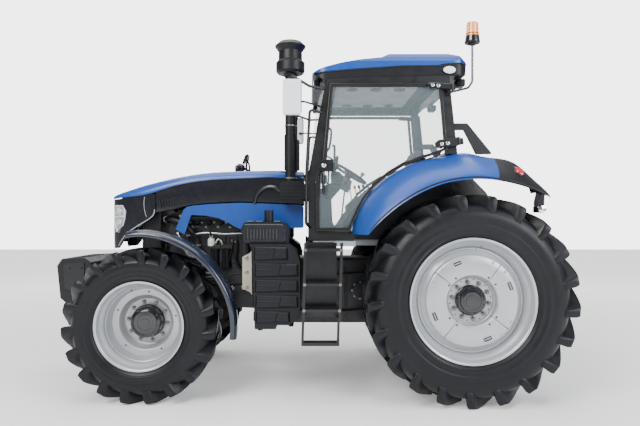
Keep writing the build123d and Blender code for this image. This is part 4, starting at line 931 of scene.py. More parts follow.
    # hoses and pipes
    for pts, r, m in (
        ([(2930, 200, 1640), (2860, 290, 1640), (2760, 330, 1610), (2660, 336, 1530), (2600, 330, 1440), (2590, 300, 1360)], 0.032, 2),
        ([(2940, 220, 1190), (2860, 290, 1180), (2780, 300, 1200), (2720, 262, 1240)], 0.030, 2),
        ([(2190, 352, 1420), (2180, 372, 1340), (2195, 380, 1240), (2160, 360, 1150), (2090, 300, 1110)], 0.014, 2),
        ([(2225, 350, 1430), (2230, 378, 1350), (2250, 384, 1260), (2330, 372, 1100), (2460, 330, 1050)], 0.010, 2),
        ([(2448, 350, 1462), (2440, 362, 1500), (2500, 356, 1550), (2640, 340, 1570)], 0.008, 2),
        ([(2330, 345, 1378), (2350, 372, 1420), (2380, 372, 1430), (2410, 345, 1378)], 0.010, 1),
        ([(2060, 330, 1540), (2060, 372, 1500), (2072, 380, 1380), (2060, 340, 1200), (2050, 250, 1120)], 0.018, 2),
        ([(2100, 320, 1500), (2300, 340, 1490), (2500, 335, 1500), (2700, 320, 1470)], 0.009, 1),
        ([(2100, 300, 1080), (2250, 320, 1060), (2400, 300, 1020), (2700, 262, 1000)], 0.011, 2),
        ([(2600, 262, 1260), (2640, 320, 1250), (2700, 330, 1290), (2740, 300, 1400), (2800, 260, 1500)], 0.013, 4),
    ):
        B.add(*tube_g(smooth_path([P3(a, y(hug(b, c)), c) for a, b, c in pts], 6), r, 12), m)
        for k in (0, -1):
            a = Vector(P3(pts[k][0], y(hug(pts[k][1], pts[k][2])), pts[k][2]))
            nb = pts[1] if k == 0 else pts[-2]
            d = (Vector(P3(nb[0], y(hug(nb[1], nb[2])), nb[2])) - a).normalized()
            B.add(*disc_g(a, d, [(0, 0), (r * 1.35, 0.0), (r * 1.35, 0.018), (r * 1.05, 0.022), (0, 0.022)], 6 if r < 0.02 else 20), 4)
    # belt drive at the front of the engine
    for x, yy, z, r in ((2898, 60, 1120, 0.105), (2898, 190, 1420, 0.062), (2898, 90, 1600, 0.075)):
        B.add(*disc_g(P3(x - 20, y(yy), z), (1, 0, 0), [(0, 0), (r * 0.9, 0), (r, 0.004), (r * 0.94, 0.009), (r * 0.94, 0.022), (r, 0.027), (r * 0.9, 0.032), (r * 0.35, 0.024), (0, 0.024)], 32), 0)
    # frame rail bolts
    for x in (2060, 2130, 2240, 2330, 2620, 2760, 3220, 3300, 3380, 3480):
        zz = 925 if x < 2250 else (870 if x < 2500 else 900)
        B.add(*bolt_g(P3(x, y(210), zz), (0, s, 0), 0.015, 0.014), 4)
    B.done()

# radiator face: fins between side tanks
B = Build("radiator_core", ["dark_and_painted_shade", "chassis", "steel"], "chassis", "iron", 35)
for s in (1, -1):
    B.add(*slab_g([P3(3136, s * 255, 1090), P3(3136, s * 302, 1090), P3(3136, s * 302, 1780), P3(3136, s * 255, 1780)], (0.016, 0, 0), 0.005), 1)
for k in range(34):
    z = lz(1100 + k * 20)
    B.add(*box_g(lx(3136), lx(3142), -0.252, 0.252, z, z + 0.006, 0.001), 2)
B.done()


# ------------------------------------------------------------------ cab: inside
M["boot"] = plastic("pleated_boot", (0.30, 0.305, 0.31), rough=0.6, grain=0.1, dust=0.05)
M["screen"] = paint("display_glass", (0.01, 0.014, 0.02), rough=0.08, coat=1.0, orange=0.0)
M["headliner"] = plastic("headliner", (0.40, 0.42, 0.45), rough=0.8, grain=0.3, scale=260, dust=0.0)


def rot2(p, c, a):
    return (c[0] + (p[0] - c[0]) * math.cos(a) - (p[1] - c[1]) * math.sin(a), c[1] + (p[0] - c[0]) * math.sin(a) + (p[1] - c[1]) * math.cos(a))


# steering wheel: padded rim, three spokes, boss, on the CAD wheel's plane
tilt = math.radians(32)
SW = P3(1000, 0, 2135)
aw = Vector((-math.sin(tilt), 0, math.cos(tilt)))
ux = Vector((math.cos(tilt), 0, math.sin(tilt)))
uy = Vector((0, 1, 0))
B = Build("steering_wheel_grip", ["plastic", "plastic_gloss", "grey"], "steering_wheel", "black_plastic", 50)
rings = []
for k in range(64):
    t = 2 * math.pi * k / 64
    c = SW + (ux * math.cos(t) + uy * math.sin(t)) * 0.199
    e = (ux * math.cos(t) + uy * math.sin(t))
    r = 0.0148 + 0.0012 * math.cos(t * 32)
    rings.append([c + (e * math.cos(q) + aw * math.sin(q)) * r for q in [2 * math.pi * j / 14 for j in range(14)]])
v, f = loft_rings(rings + [rings[0]], cap=False)
B.add(v, f, 0)
for t in (math.radians(180), math.radians(60), math.radians(-60)):
    e = ux * math.cos(t) + uy * math.sin(t)
    q = aw.cross(e)
    rows = []
    for d, w, h in ((0.045, 0.030, 0.012), (0.09, 0.020, 0.009), (0.15, 0.016, 0.008), (0.192, 0.020, 0.009)):
        c = SW + e * d
        rows.append([c + q * (w * math.cos(z)) + aw * (h * math.sin(z)) for z in [2 * math.pi * j / 12 for j in range(12)]])
    B.add(*loft_rings(rows), 1)
B.add(*disc_g(SW - aw * 0.014, aw, [(0.0, 0.0), (0.055, 0.0), (0.062, 0.010), (0.060, 0.024), (0.050, 0.033), (0.028, 0.037), (0.026, 0.035), (0.0, 0.036)], 36), 1)
B.add(*disc_g(SW + ux * -0.12 + uy * 0.155 + aw * 0.012, aw, [(0, 0), (0.012, 0), (0.012, 0.020), (0.020, 0.028), (0.024, 0.042), (0.018, 0.054), (0, 0.058)], 24), 2)
sw = B.done()
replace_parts(sw, "steering_wheel")

B = Build("cab_controls", ["plastic", "plastic_gloss", "boot", "screen", "white", "red", "grey", "amber", "zinc"], "chassis", "black_plastic", 35)
# pleated boot round the column, cluster hood with dials
ps = []
for k in range(15):
    t = k / 14
    r = (0.112 if k % 2 == 0 else 0.092) * (1.0 - 0.28 * t)
    ps.append((r, 0.02 + 0.125 * t))
colb = SW - aw * 0.205
B.add(*disc_g(colb, aw, ps, 28), 2)
cl = P3(1180, 0, 2075)
B.add(*slab_g([P3(1088, y, z) for y, z in ((-140, 2022), (140, 2022), (128, 2100), (70, 2142), (-70, 2142), (-128, 2100))], (0.110, 0, 0.02), 0.018), 0)
for y, r in ((-0.072, 0.040), (0.072, 0.040), (0.0, 0.026)):
    c = P3(1086, 0, 2085)
    c.y = y
    B.add(*disc_g(c, (-1, 0, 0.0), [(0, 0), (r, 0), (r, 0.004), (r * 0.88, 0.004), (r * 0.86, 0.001), (0, 0.001)], 30), 3)
    for q in range(9):
        a = math.radians(-30 + q * 30)
        p0 = c + Vector((-0.002, math.cos(a) * r * 0.66, math.sin(a) * r * 0.66))
        p1 = c + Vector((-0.002, math.cos(a) * r * 0.80, math.sin(a) * r * 0.80))
        B.add(*tube_g([p0, p1], 0.0011, 6), 4)
    B.add(*tube_g([c + Vector((-0.003, 0, 0)), c + Vector((-0.003, 0.5 * r, 0.4 * r))], 0.0013, 6), 5)
# column stalks
for s in (1, -1):
    B.add(*tube_g(smooth_path([P3(1065, s * 30, 2045), P3(1020, s * 110, 2060), P3(990, s * 185, 2085)], 5), [0.006] * 10 + [0.009], 10), 0)
    B.add(*disc_g(P3(990, s * 185, 2085), (-0.3, s, 0.3), [(0.009, 0), (0.011, 0.01), (0.010, 0.03), (0, 0.034)], 16), 1)
# right console: levers with boots, rocker switches
for i, (x, col) in enumerate(((720, 0), (770, 0), (820, 0), (870, 7), (930, 5))):
    p = [P3(x, -470, 1890 - (x - 700) * 0.25), P3(x + 22, -470, 1960 - i * 6), P3(x + 30, -468, 2010 - i * 6)]
    B.add(*tube_g(smooth_path(p, 5), 0.0055, 10), 8)
    B.add(*disc_g(p[-1], (0.3, 0, 1), [(0.006, -0.004), (0.014, 0.004), (0.017, 0.018), (0.014, 0.036), (0.006, 0.044), (0, 0.045)], 20), col)
    B.add(*disc_g(P3(x, -470, 1896 - (x - 700) * 0.20), (0.1, 0, 1), [(0.022, 0.0), (0.016, 0.006), (0.020, 0.010), (0.013, 0.016), (0.016, 0.020), (0.008, 0.028)], 20), 2)
for k in range(8):
    x = 480 + (k % 4) * 44
    yv = -400 - (k // 4) * 34
    zt = 1960 - (x - 420) * 0.125
    B.add(*box_g(lx(x), lx(x + 34), yv / 1000 - 0.012, yv / 1000 + 0.012, lz(zt - 4), lz(zt + 9), 0.004), 1)
    B.add(*box_g(lx(x + 4), lx(x + 9), yv / 1000 - 0.004, yv / 1000 + 0.004, lz(zt + 8.5), lz(zt + 10), 0.0006), 4 if k % 3 else 7)
# front gear lever at the seat's left with its boot, and pedals
B.add(*tube_g(smooth_path([P3(1120, 215, 1440), P3(1100, 222, 1640), P3(1075, 230, 1860), P3(1060, 232, 1990)], 5), 0.008, 12), 8)
B.add(*disc_g(P3(1060, 232, 1985), (-0.1, 0, 1), [(0.008, 0), (0.018, 0.012), (0.020, 0.030), (0.014, 0.046), (0, 0.050)], 22), 0)
B.add(*disc_g(P3(1118, 216, 1442), (-0.08, 0.02, 1), [(0.075, 0.0), (0.060, 0.03), (0.066, 0.045), (0.050, 0.075), (0.055, 0.09), (0.036, 0.12), (0.040, 0.135), (0.018, 0.17), (0.009, 0.18)], 26), 2)
for yv, x in ((-120, 1150), (-205, 1150), (190, 1150)):
    B.add(*tube_g(smooth_path([P3(x + 60, yv, 1640), P3(x + 20, yv, 1560), P3(x - 15, yv, 1530)], 4), 0.008, 10), 0)
    rows = [P3(x - 42, yv - 34, 1500), P3(x - 42, yv + 34, 1500), P3(x + 2, yv + 30, 1575), P3(x + 2, yv - 30, 1575)]
    B.add(*slab_g(rows, (-0.010, 0, 0.006), 0.003), 0)
    for k in range(5):
        t = 0.15 + 0.7 * k / 4
        a, b = rows[0].lerp(rows[3], t), rows[1].lerp(rows[2], t)
        B.add(*tube_g([a + Vector((-0.012, 0.006, 0.007)), b + Vector((-0.012, -0.006, 0.007))], 0.0022, 6), 6)
# monitor on the far front post
B.add(*tube_g(smooth_path([P3(1290, -720, 2440), P3(1230, -690, 2400), P3(1180, -640, 2370), P3(1150, -620, 2340)], 5), 0.011, 12), 0)
B.add(*slab_g([P3(1108, -700, 2215), P3(1108, -500, 2215), P3(1090, -500, 2385), P3(1090, -700, 2385)], (0.030, 0, 0), 0.010), 0)
B.add(*slab_g([P3(1107, -685, 2232), P3(1107, -515, 2232), P3(1091, -515, 2370), P3(1091, -685, 2370)], (-0.003, 0, 0), 0.001), 3)
B.done()

# roof lining with vents, grab handles and inner fender cover strips
B = Build("cab_lining", ["headliner", "plastic", "grey", "lightgrey"], "chassis", "interior_grey", 35)
B.add(*slab_g([P3(340, -515, 2952), P3(1170, -515, 2952), P3(1170, 515, 2952), P3(340, 515, 2952)], (0, 0, 0.020), 0.008), 0)
for s in (1, -1):
    for x in (520, 760, 1000):
        B.add(*disc_g(P3(x, s * 400, 2951), (0, 0, -1), [(0.058, 0), (0.056, 0.008), (0.046, 0.010), (0.044, 0.004), (0, 0.004)], 28), 1)
        for k in range(3):
            B.add(*tube_g([P3(x - 34, s * 400 - 18 + 18 * k, 2946), P3(x + 34, s * 400 - 18 + 18 * k, 2946)], 0.003, 6), 1)
    # inner fender cover strip that follows the door's curve
    path = [(1050, 1560), (985, 1700), (921, 1828), (828, 1945), (687, 2060), (547, 2144), (405, 2202), (246, 2252), (160, 2285)]
    rows = []
    for x, z in path:
        rows.append([P3(x - 34, s * 700, z - 52), P3(x - 20, s * 728, z - 34), P3(x - 12, s * 742, z - 22), P3(x - 16, s * 742, z - 34), P3(x - 40, s * 700, z - 62)])
    B.add(*loft_rings(rows), 3)
    B.add(*tube_g(smooth_path([P3(1290, s * 700, 2300), P3(1245, s * 672, 2320), P3(1222, s * 672, 2480), P3(1250, s * 700, 2520)], 6), 0.011, 12), 1)
B.done()


M["redlens"] = lens("dark_red_lens", (0.10, 0.008, 0.012), alpha=1.0)

# ------------------------------------------------------------------ seat: crowned pads with sewn channels
def pad(name, node, org, ex, ey, en, hx, hy, th, channels, bolster):
    """A stuffed pad: org is the middle of its back face, ex and ey run along it, en is its outward side."""
    n, m = 44, 40
    rows = []
    for i in range(n + 1):
        u = -1 + 2 * i / n
        row = []
        for j in range(m):
            a = 2 * math.pi * j / m
            # a rounded section across, from face to back
            cy = math.copysign(abs(math.cos(a)) ** 0.42, math.cos(a))
            cn = math.copysign(abs(math.sin(a)) ** 0.62, math.sin(a))
            pull = 1 - 0.05 * (1 - u * u) * abs(math.sin(a)) - 0.045 * u * u
            endf = (1 - abs(u) ** 7) ** 0.42 if abs(u) < 1 else 0.0
            y = cy * hy * pull * (0.90 + 0.10 * endf)
            h = cn * th * 0.5 * (0.10 + 0.90 * endf)
            if cn > 0:
                q = y / hy
                h *= 1.0 + 0.10 * (1 - u * u) * (1 - q * q)
                h += bolster * max(0.0, abs(q) - 0.55) ** 1.2 * endf
                # channels sewn across the middle panel, and the two seams along the bolsters
                if abs(q) < 0.60:
                    w = abs(math.sin(channels * math.pi * (u * 0.5 + 0.5)))
                    h -= 0.010 * (1 - w) ** 3 * endf
                h -= 0.009 * math.exp(-((abs(q) - 0.60) / 0.035) ** 2) * endf
            else:
                h *= 0.92
            p = org + ex * (u * hx * (0.985 if abs(u) == 1 else 1)) + ey * y + en * (th * 0.5 + h)
            row.append(p)
        rows.append(row)
    v, f = loft_rings(rows)
    o = link(name, v, f, "fabric", "chassis", 60)
    sub = o.modifiers.new("round", "SUBSURF")
    sub.levels = sub.render_levels = 1
    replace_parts(o, node)
    # piping round the rim
    B = Build(name + "_piping", ["plastic"], "chassis", "black_plastic", 60)
    loop = []
    for k in range(60):
        t = 2 * math.pi * k / 60
        cu = math.copysign(abs(math.cos(t)) ** 0.35, math.cos(t))
        cv = math.copysign(abs(math.sin(t)) ** 0.35, math.sin(t))
        loop.append(org + ex * (cu * hx * 0.965) + ey * (cv * hy * 0.985) + en * (th * 0.52))
    loop.append(loop[0])
    B.add(*tube_g(loop, 0.0045, 8), 0)
    B.done()
    return o


pad("seat_cushion_pad", "seat_cushion", P3(530, 0, 1709), Vector((1, 0, 0)), Vector((0, 1, 0)), Vector((0, 0, 1)), 0.225, 0.250, 0.100, 5, 0.045)
bn = Vector((534, 0, 110)).normalized()
bu = Vector((-110, 0, 534)).normalized()
pad("seat_back_pad", "seat_backrest", P3(290, 0, 2093), bu, Vector((0, -1, 0)), bn, 0.268, 0.235, 0.100, 6, 0.045)
B = Build("seat_parts", ["plastic", "boot", "zinc"], "chassis", "black_plastic", 35)
# shell behind the backrest, arm rest, bellows under the cushion, belt clasp
B.add(*slab_g([P3(252, y, z) for y, z in ((-205, 1850), (205, 1850), (215, 2050), (190, 2330), (120, 2352), (-120, 2352), (-190, 2330), (-215, 2050))], (0.022, 0, 0.002), 0.008), 0)
B.add(*slab_g([P3(400, y, 1975) for y in (-300, -245)] + [P3(700, y, 2000) for y in (-245, -300)], (0, 0, 0.050), 0.018), 0)
B.add(*tube_g(smooth_path([P3(330, -272, 1900), P3(370, -272, 1960), P3(420, -272, 1985)], 5), 0.018, 12), 0)
rows = []
for k in range(11):
    g = 0.018 if k % 2 else 0.0
    z = 1470 + k * 20
    rows.append([P3(345 - g * 0, -215 - g * 900, z), P3(690 + g * 900, -215 - g * 900, z), P3(690 + g * 900, 215 + g * 900, z), P3(345, 215 + g * 900, z)])
B.add(*loft_rings(rows), 1)
B.add(*box_g(lx(470), lx(500), 0.262, 0.282, lz(1740), lz(1850), 0.006), 0)
B.done()

# ------------------------------------------------------------------ doors
for tag, s in (("left", 1), ("right", -1)):
    B = Build(f"door_{tag}_hardware", ["plastic_gloss", "seal", "zinc", "plastic", "chrome", "frame_black"], f"door_{tag}", "black_plastic", 35)
    DR = [(1372, 1529), (1062, 1529), (985, 1700), (921, 1828), (828, 1945), (687, 2060), (547, 2144), (405, 2202), (246, 2252), (150, 2292), (204, 2900), (1238, 2900), (1304, 2200), (1372, 2060)]
    cx = sum(p[0] for p in DR) / len(DR)
    cz = sum(p[1] for p in DR) / len(DR)
    # outer bead and glass rubber
    loop = [P3(x, s * 864.5, z) for x, z in DR] + [P3(DR[0][0], s * 864.5, DR[0][1])]
    B.add(*tube_g(loop, 0.0038, 8), 5)

    def inset(d):
        out = []
        k = len(DR)
        for i in range(k):
            a, b, c = Vector((*DR[i - 1], 0)), Vector((*DR[i], 0)), Vector((*DR[(i + 1) % k], 0))
            e1, e2 = (b - a).normalized(), (c - b).normalized()
            m1, m2 = Vector((-e1.y, e1.x, 0)), Vector((-e2.y, e2.x, 0))
            mm = (m1 + m2).normalized()
            mm = mm / max(0.4, mm.dot(m1))
            if mm.dot(Vector((cx, cz, 0)) - b) < 0 and abs(mm.dot((Vector((cx, cz, 0)) - b).normalized())) > 0.2:
                mm = -mm
            q = b + mm * d
            out.append((q.x, q.y))
        return out
    ring = inset(24)
    loop = [P3(x, s * 863, z) for x, z in ring] + [P3(ring[0][0], s * 863, ring[0][1])]
    B.add(*tube_g(loop, 0.0065, 8), 1)
    # hinge plates with bolts
    for pts, bolts in (([(30, 2348), (60, 2318), (262, 2298), (270, 2345), (236, 2376), (56, 2398)], ((150, 2344), (205, 2338))), ([(110, 2846), (330, 2862), (338, 2900), (306, 2912), (120, 2898)], ((238, 2880), (290, 2884)))):
        B.add(*slab_g([P3(x, s * 873, z) for x, z in pts], (0, s * 0.014, 0), 0.005), 5)
        for x, z in bolts:
            B.add(*bolt_g(P3(x, s * 887, z), (0, s, 0), 0.011, 0.010), 4)
    # lock: block, pull handle and push button, inner rail
    B.add(*slab_g([P3(x, s * 896, z) for x, z in ((1212, 2080), (1334, 2080), (1334, 2170), (1310, 2192), (1224, 2192), (1212, 2170))], (0, s * 0.010, 0), 0.004), 3)
    B.add(*disc_g(P3(1300, s * 906, 2136), (0, s, 0), [(0.018, 0), (0.018, 0.006), (0.014, 0.008), (0, 0.0085)], 24), 4)
    B.add(*tube_g(smooth_path([P3(1236, s * 902, 2110), P3(1244, s * 914, 2126), P3(1244, s * 914, 2150), P3(1236, s * 902, 2168)], 5), 0.006, 10), 0)
    B.add(*tube_g(smooth_path([P3(1304, s * 892, 1874), P3(1304, s * 902, 1900), P3(1304, s * 902, 2050), P3(1304, s * 892, 2088)], 5), 0.009, 12), 0)
    B.add(*tube_g(smooth_path([P3(1262, s * 834, 1840), P3(1262, s * 800, 1860), P3(1210, s * 790, 2030), P3(1195, s * 790, 2300), P3(1212, s * 834, 2330)], 6), 0.011, 12), 3)
    B.done()

# ------------------------------------------------------------------ roof
B = Build("roof_trim", ["plastic", "white", "chrome", "clear", "zinc", "blue", "plastic_gloss"], "chassis", "black_plastic", 35)
for s in (1, -1):
    # oval side lamp, drip rail along the seam and a black rail below it
    c = P3(115, s * 800, 3045)
    for r0, h0, mt in (((0.066, 0.042), 0.0, 0), ((0.058, 0.035), 0.006, 1)):
        rows = []
        for k, (q, h) in enumerate(((1.0, 0.0), (1.0, 0.006), (0.93, 0.010), (0.6, 0.0125), (0.02, 0.013))):
            rows.append([c + Vector((r0[0] * q * math.cos(t), s * (h0 + h), r0[1] * q * math.sin(t))) for t in [2 * math.pi * j / 32 for j in range(32)]])
        B.add(*loft_rings(rows), mt)
    seam = [(1348, 3022), (1046, 3050), (562, 3083), (222, 3086), (150, 3101), (24, 3111), (-50, 3100)]
    B.add(*tube_g(smooth_path([P3(x, s * 803, z) for x, z in seam], 6), 0.0045, 8), 6)
    low = [(1262, 2954), (900, 2968), (500, 2986), (200, 2997), (20, 2998)]
    B.add(*tube_g(smooth_path([P3(x, s * 800, z) for x, z in low], 5), 0.008, 10), 0)
    # rear work lamps: rounded housing and white lens
    for x, d, y in ((-8, -1, 630), (1360, 1, 625)):
        zc = 2955 if d < 0 else 2946
        base = P3(x, s * y, zc)
        rows = []
        for q, h in ((0.55, -0.030), (0.85, -0.022), (1.0, -0.004), (1.0, 0.026), (0.94, 0.030)):
            rows.append([base + Vector((d * h, 0.070 * q * math.copysign(abs(math.cos(t)) ** 0.5, math.cos(t)), 0.038 * q * math.copysign(abs(math.sin(t)) ** 0.5, math.sin(t)))) for t in [2 * math.pi * j / 32 for j in range(32)]])
        B.add(*loft_rings(rows), 0)
        rows = []
        for q, h in ((0.88, 0.0305), (0.86, 0.033), (0.5, 0.0355), (0.02, 0.036)):
            rows.append([base + Vector((d * h, 0.070 * q * math.copysign(abs(math.cos(t)) ** 0.5, math.cos(t)), 0.038 * q * math.copysign(abs(math.sin(t)) ** 0.5, math.sin(t)))) for t in [2 * math.pi * j / 32 for j in range(32)]])
        B.add(*loft_rings(rows), 1)
    # points of a roof crease on each side of the crown, not used
    cr = [(1330, 3072), (1100, 3128), (860, 3165), (600, 3184), (200, 3192)]
# rear air vents
for k in range(7):
    z = 3030 + k * 9
    B.add(*tube_g([P3(-66, -300, z), P3(-66, 300, z)], 0.003, 6), 6)
B.done()

# ------------------------------------------------------------------ wings and tails
for tag, s in (("left", 1), ("right", -1)):
    B = Build(f"wing_trim_{tag}", ["plastic", "red", "chrome", "clear", "zinc", "plastic_gloss", "amber"], "chassis", "black_plastic", 35)

    def wp(a, y):
        """A point on the wing's outer skin at angle a over the axle, at the plane y."""
        tab = [(28, 1175, 1092), (33, 1212, 1090), (40, 1258, 1077), (50, 1300, 1063), (60, 1318, 1058), (72, 1325, 1062), (84, 1320, 1066), (96, 1322, 1072), (104, 1328, 1078), (110, 1332, 1086), (115, 1300, 1096), (120, 1262, 1108), (126, 1205, 1120)]
        ri = interp([(t[0], t[1]) for t in tab], a)
        rl = interp([(t[0], t[2]) for t in tab], a)
        fr = interp([(780, 0), (860, 0.0), (985, 0.16), (1100, 0.42), (1190, 0.72), (1235, 1.0)], y)
        r = ri - (ri - rl) * fr
        c, q = math.cos(math.radians(a)), math.sin(math.radians(a))
        return P3(r * c, s * y, 918 + r * q)
    # rubber lip along the outer edge
    B.add(*tube_g(smooth_path([wp(a, 1224) for a in range(34, 127, 6)], 3), 0.0085, 8), 0)
    # red marker on the tail, set in a dark bezel
    n0 = Vector((-0.45, s * 0.62, 0.64)).normalized()
    for w, hh, h0, m in ((2.5, 60, 0.0, 0), (1.9, 47, 0.008, 1)):
        rows = []
        for q, h in ((1.0, -0.004), (1.0, 0.008), (0.90, 0.014), (0.5, 0.017), (0.02, 0.018)):
            row = []
            for t in [2 * math.pi * j / 32 for j in range(32)]:
                cu, cv = math.copysign(abs(math.cos(t)) ** 0.6, math.cos(t)), math.copysign(abs(math.sin(t)) ** 0.6, math.sin(t))
                row.append(wp(110.5 + w * q * cu, 1105 + hh * q * cv) + n0 * (h + h0))
            rows.append(row)
        B.add(*loft_rings(rows), m)
    # tail lamp cluster facing back, on a bracket under the tail's tip
    for y0, y1, m in ((890, 925, 1), (930, 962, 6), (967, 1002, 3)):
        B.add(*slab_g([P3(-698, s * y0, 1704), P3(-698, s * y1, 1704), P3(-698, s * y1, 1756), P3(-698, s * y0, 1756)], (-0.010, 0, 0), 0.004), m)
    rows = []
    for q, h in ((1.0, 0.0), (1.0, 0.012), (0.9, 0.020), (0.3, 0.024), (0.02, 0.0245)):
        rows.append([P3(-668, s * 1012, 1730) + Vector((0.040 * q * math.cos(t), s * h, 0.036 * q * math.sin(t))) for t in [2 * math.pi * j / 28 for j in range(28)]])
    B.add(*loft_rings(rows), 2)
    B.add(*slab_g([P3(-700, s * 900, 1760), P3(-640, s * 900, 1760), P3(-640, s * 900, 1800), P3(-664, s * 900, 1905), P3(-706, s * 900, 1880)], (0, s * 0.006, 0), 0.002), 0)
    B.add(*slab_g([P3(-700, s * 990, 1760), P3(-640, s * 990, 1760), P3(-640, s * 990, 1800), P3(-664, s * 990, 1895), P3(-706, s * 990, 1866)], (0, s * 0.006, 0), 0.002), 0)
    # inner strengthening rib under the wing and its bolts
    for a in (45, 62, 80, 97):
        B.add(*tube_g(smooth_path([wp(a, 790) - Vector((0, 0, 0.016)), wp(a, 860) - Vector((0, 0, 0.018)), wp(a, 985) - Vector((0, 0, 0.022))], 4), 0.010, 10), 0)
        B.add(*bolt_g(wp(a, 790), (0, 0, 1), 0.010, 0.008), 4)
    B.done()

# ------------------------------------------------------------------ stacks, mirrors, beacon
for tag, s in (("intake", 1), ("exhaust", -1)):
    B = Build(f"{tag}_stack_detail", ["plastic_gloss", "zinc", "frame_black", "steel", "plastic"], "chassis", "gloss_black", 40)
    cx, cy = lx(1622), s * 0.505
    for z in (2040, 2560, 3010):
        B.add(*disc_g((cx, cy, lz(z)), (0, 0, 1), [(0.0525, 0.0), (0.0560, 0.001), (0.0560, 0.013), (0.0525, 0.014)], 36), 1)
        B.add(*box_g(cx - 0.072, cx - 0.052, cy - 0.008, cy + 0.008, lz(z) + 0.002, lz(z) + 0.012, 0.002), 1)
    if tag == "intake":
        # guide ribs on the pre-cleaner bowl, slats beside the pipe, and a hose
        for k in range(24):
            a = 2 * math.pi * k / 24
            e = Vector((math.cos(a), math.sin(a), 0))
            B.add(*tube_g([Vector((cx, cy, lz(3150))) + e * 0.108, Vector((cx, cy, lz(3200))) + e * 0.119], 0.0025, 6), 4)
        for k in range(5):
            z = 1830 + k * 34
            B.add(*slab_g([P3(1528, 567, z), P3(1700, 567, z), P3(1700, 567, z + 12), P3(1528, 567, z + 12)], (0, 0.004, 0), 0.0015), 4)
        B.add(*tube_g(smooth_path([P3(1700, 480, 1900), P3(1790, 470, 1960), P3(1880, 450, 1950), P3(1960, 430, 1880), P3(1990, 425, 1800)], 8), 0.020, 14), 0)
    else:
        # perforated guard round the pipe
        for k in range(9):
            for j in range(10):
                a = 2 * math.pi * (j + 0.5 * (k % 2)) / 10
                e = Vector((math.cos(a), math.sin(a), 0))
                B.add(*disc_g(Vector((cx, cy, lz(2120) + k * 0.055)) + e * 0.0525, e, [(0.010, 0.0), (0.0095, 0.0012), (0, 0.0012)], 10), 4)
    B.done()
for tag, s in (("left", 1), ("right", -1)):
    B = Build(f"mirror_{tag}_face", ["chrome", "plastic", "zinc"], "chassis", "silver_shell", 40)
    B.add(*slab_g([P3(1506, s * (998 + q) , z) for q, z in ((-17, 2610), (17, 2610), (17, 2886), (-17, 2886))], (-0.004, 0, 0), 0.0012), 1)
    B.add(*slab_g([P3(1530, s * 1021, 2606), P3(1652, s * 1021, 2606), P3(1652, s * 1021, 2890), P3(1530, s * 1021, 2890)], (0, s * 0.006, 0), 0.003), 0) if False else None
    B.add(*tube_g([P3(1590, s * 985, 2945), P3(1590, s * 996, 2915)], 0.012, 12), 1)
    for z in (2870, 2900):
        B.add(*disc_g(P3(1590, s * 985, z + 20), (0, 0, 1), [(0.018, 0), (0.020, 0.002), (0.020, 0.010), (0.018, 0.012)], 20), 1)
    B.done()
B = Build("beacon_dome", ["amber", "plastic", "chrome"], "chassis", "amber", 45)
bx, by = lx(-90), 0.842
for k in range(20):
    a = 2 * math.pi * k / 20
    e = Vector((math.cos(a), math.sin(a), 0))
    B.add(*tube_g([Vector((bx, by, lz(3372))) + e * 0.0555, Vector((bx, by, lz(3462))) + e * 0.0522], 0.002, 6), 0)
B.add(*disc_g((bx, by, lz(3366)), (0, 0, 1), [(0.050, 0), (0.061, 0.0), (0.062, 0.005), (0.058, 0.007)], 40), 1)
B.add(*disc_g((bx, by, lz(3287)), (0, 0, 1), [(0.030, -0.02), (0.040, -0.006), (0.070, -0.002), (0.0705, 0.010), (0.066, 0.014)], 40), 1)
B.done()

# ------------------------------------------------------------------ steps: toothed treads
for tag, s in (("left", 1), ("right", -1)):
    B = Build(f"step_treads_{tag}", ["steel", "plastic", "zinc"], "chassis", "paint_dark", 30)
    for z, dx in ((1352, 2), (1045, 10), (815, 16)):
        for k in range(10):
            x = 1160 + dx + k * 31
            B.add(*slab_g([P3(x, s * 915, z + 21), P3(x + 12, s * 915, z + 21), P3(x + 12, s * 1112, z + 21), P3(x, s * 1112, z + 21)], (0, 0, 0.006), 0.002), 1)
        for x in (1150 + dx, 1466 + dx):
            B.add(*bolt_g(P3(x, s * 1124, z + 11), (0, s, 0), 0.009, 0.008), 2)
    B.done()

# ------------------------------------------------------------------ front weight, axle and rear linkage finish
B = Build("ballast_trim", ["frame_black", "dark_and_painted_shade", "frame_black"], "chassis", "paint_dark", 35)
for k in range(-4, 5):
    y = k * 84
    B.add(*slab_g([P3(3700, y - 2.5, 1251), P3(3926, y - 2.5, 1241), P3(3926, y + 2.5, 1241), P3(3700, y + 2.5, 1251)], (0, 0, 0.0015), 0.0004), 1)
for s in (1, -1):
    B.add(*slab_g([P3(3700, s * 419, 900), P3(3900, s * 419, 930), P3(3925, s * 419, 1180), P3(3890, s * 419, 1200), P3(3700, s * 419, 1205)], (0, s * 0.008, 0), 0.004), 0)
    for x, z in ((3740, 960), (3740, 1150), (3860, 1150)):
        B.add(*bolt_g(P3(x, s * 427, z), (0, s, 0), 0.014, 0.012), 2)
B.done()
B = Build("rear_hitch_dress", ["chassis", "zinc", "plastic", "steel", "red", "seal"], "chassis", "iron", 35)
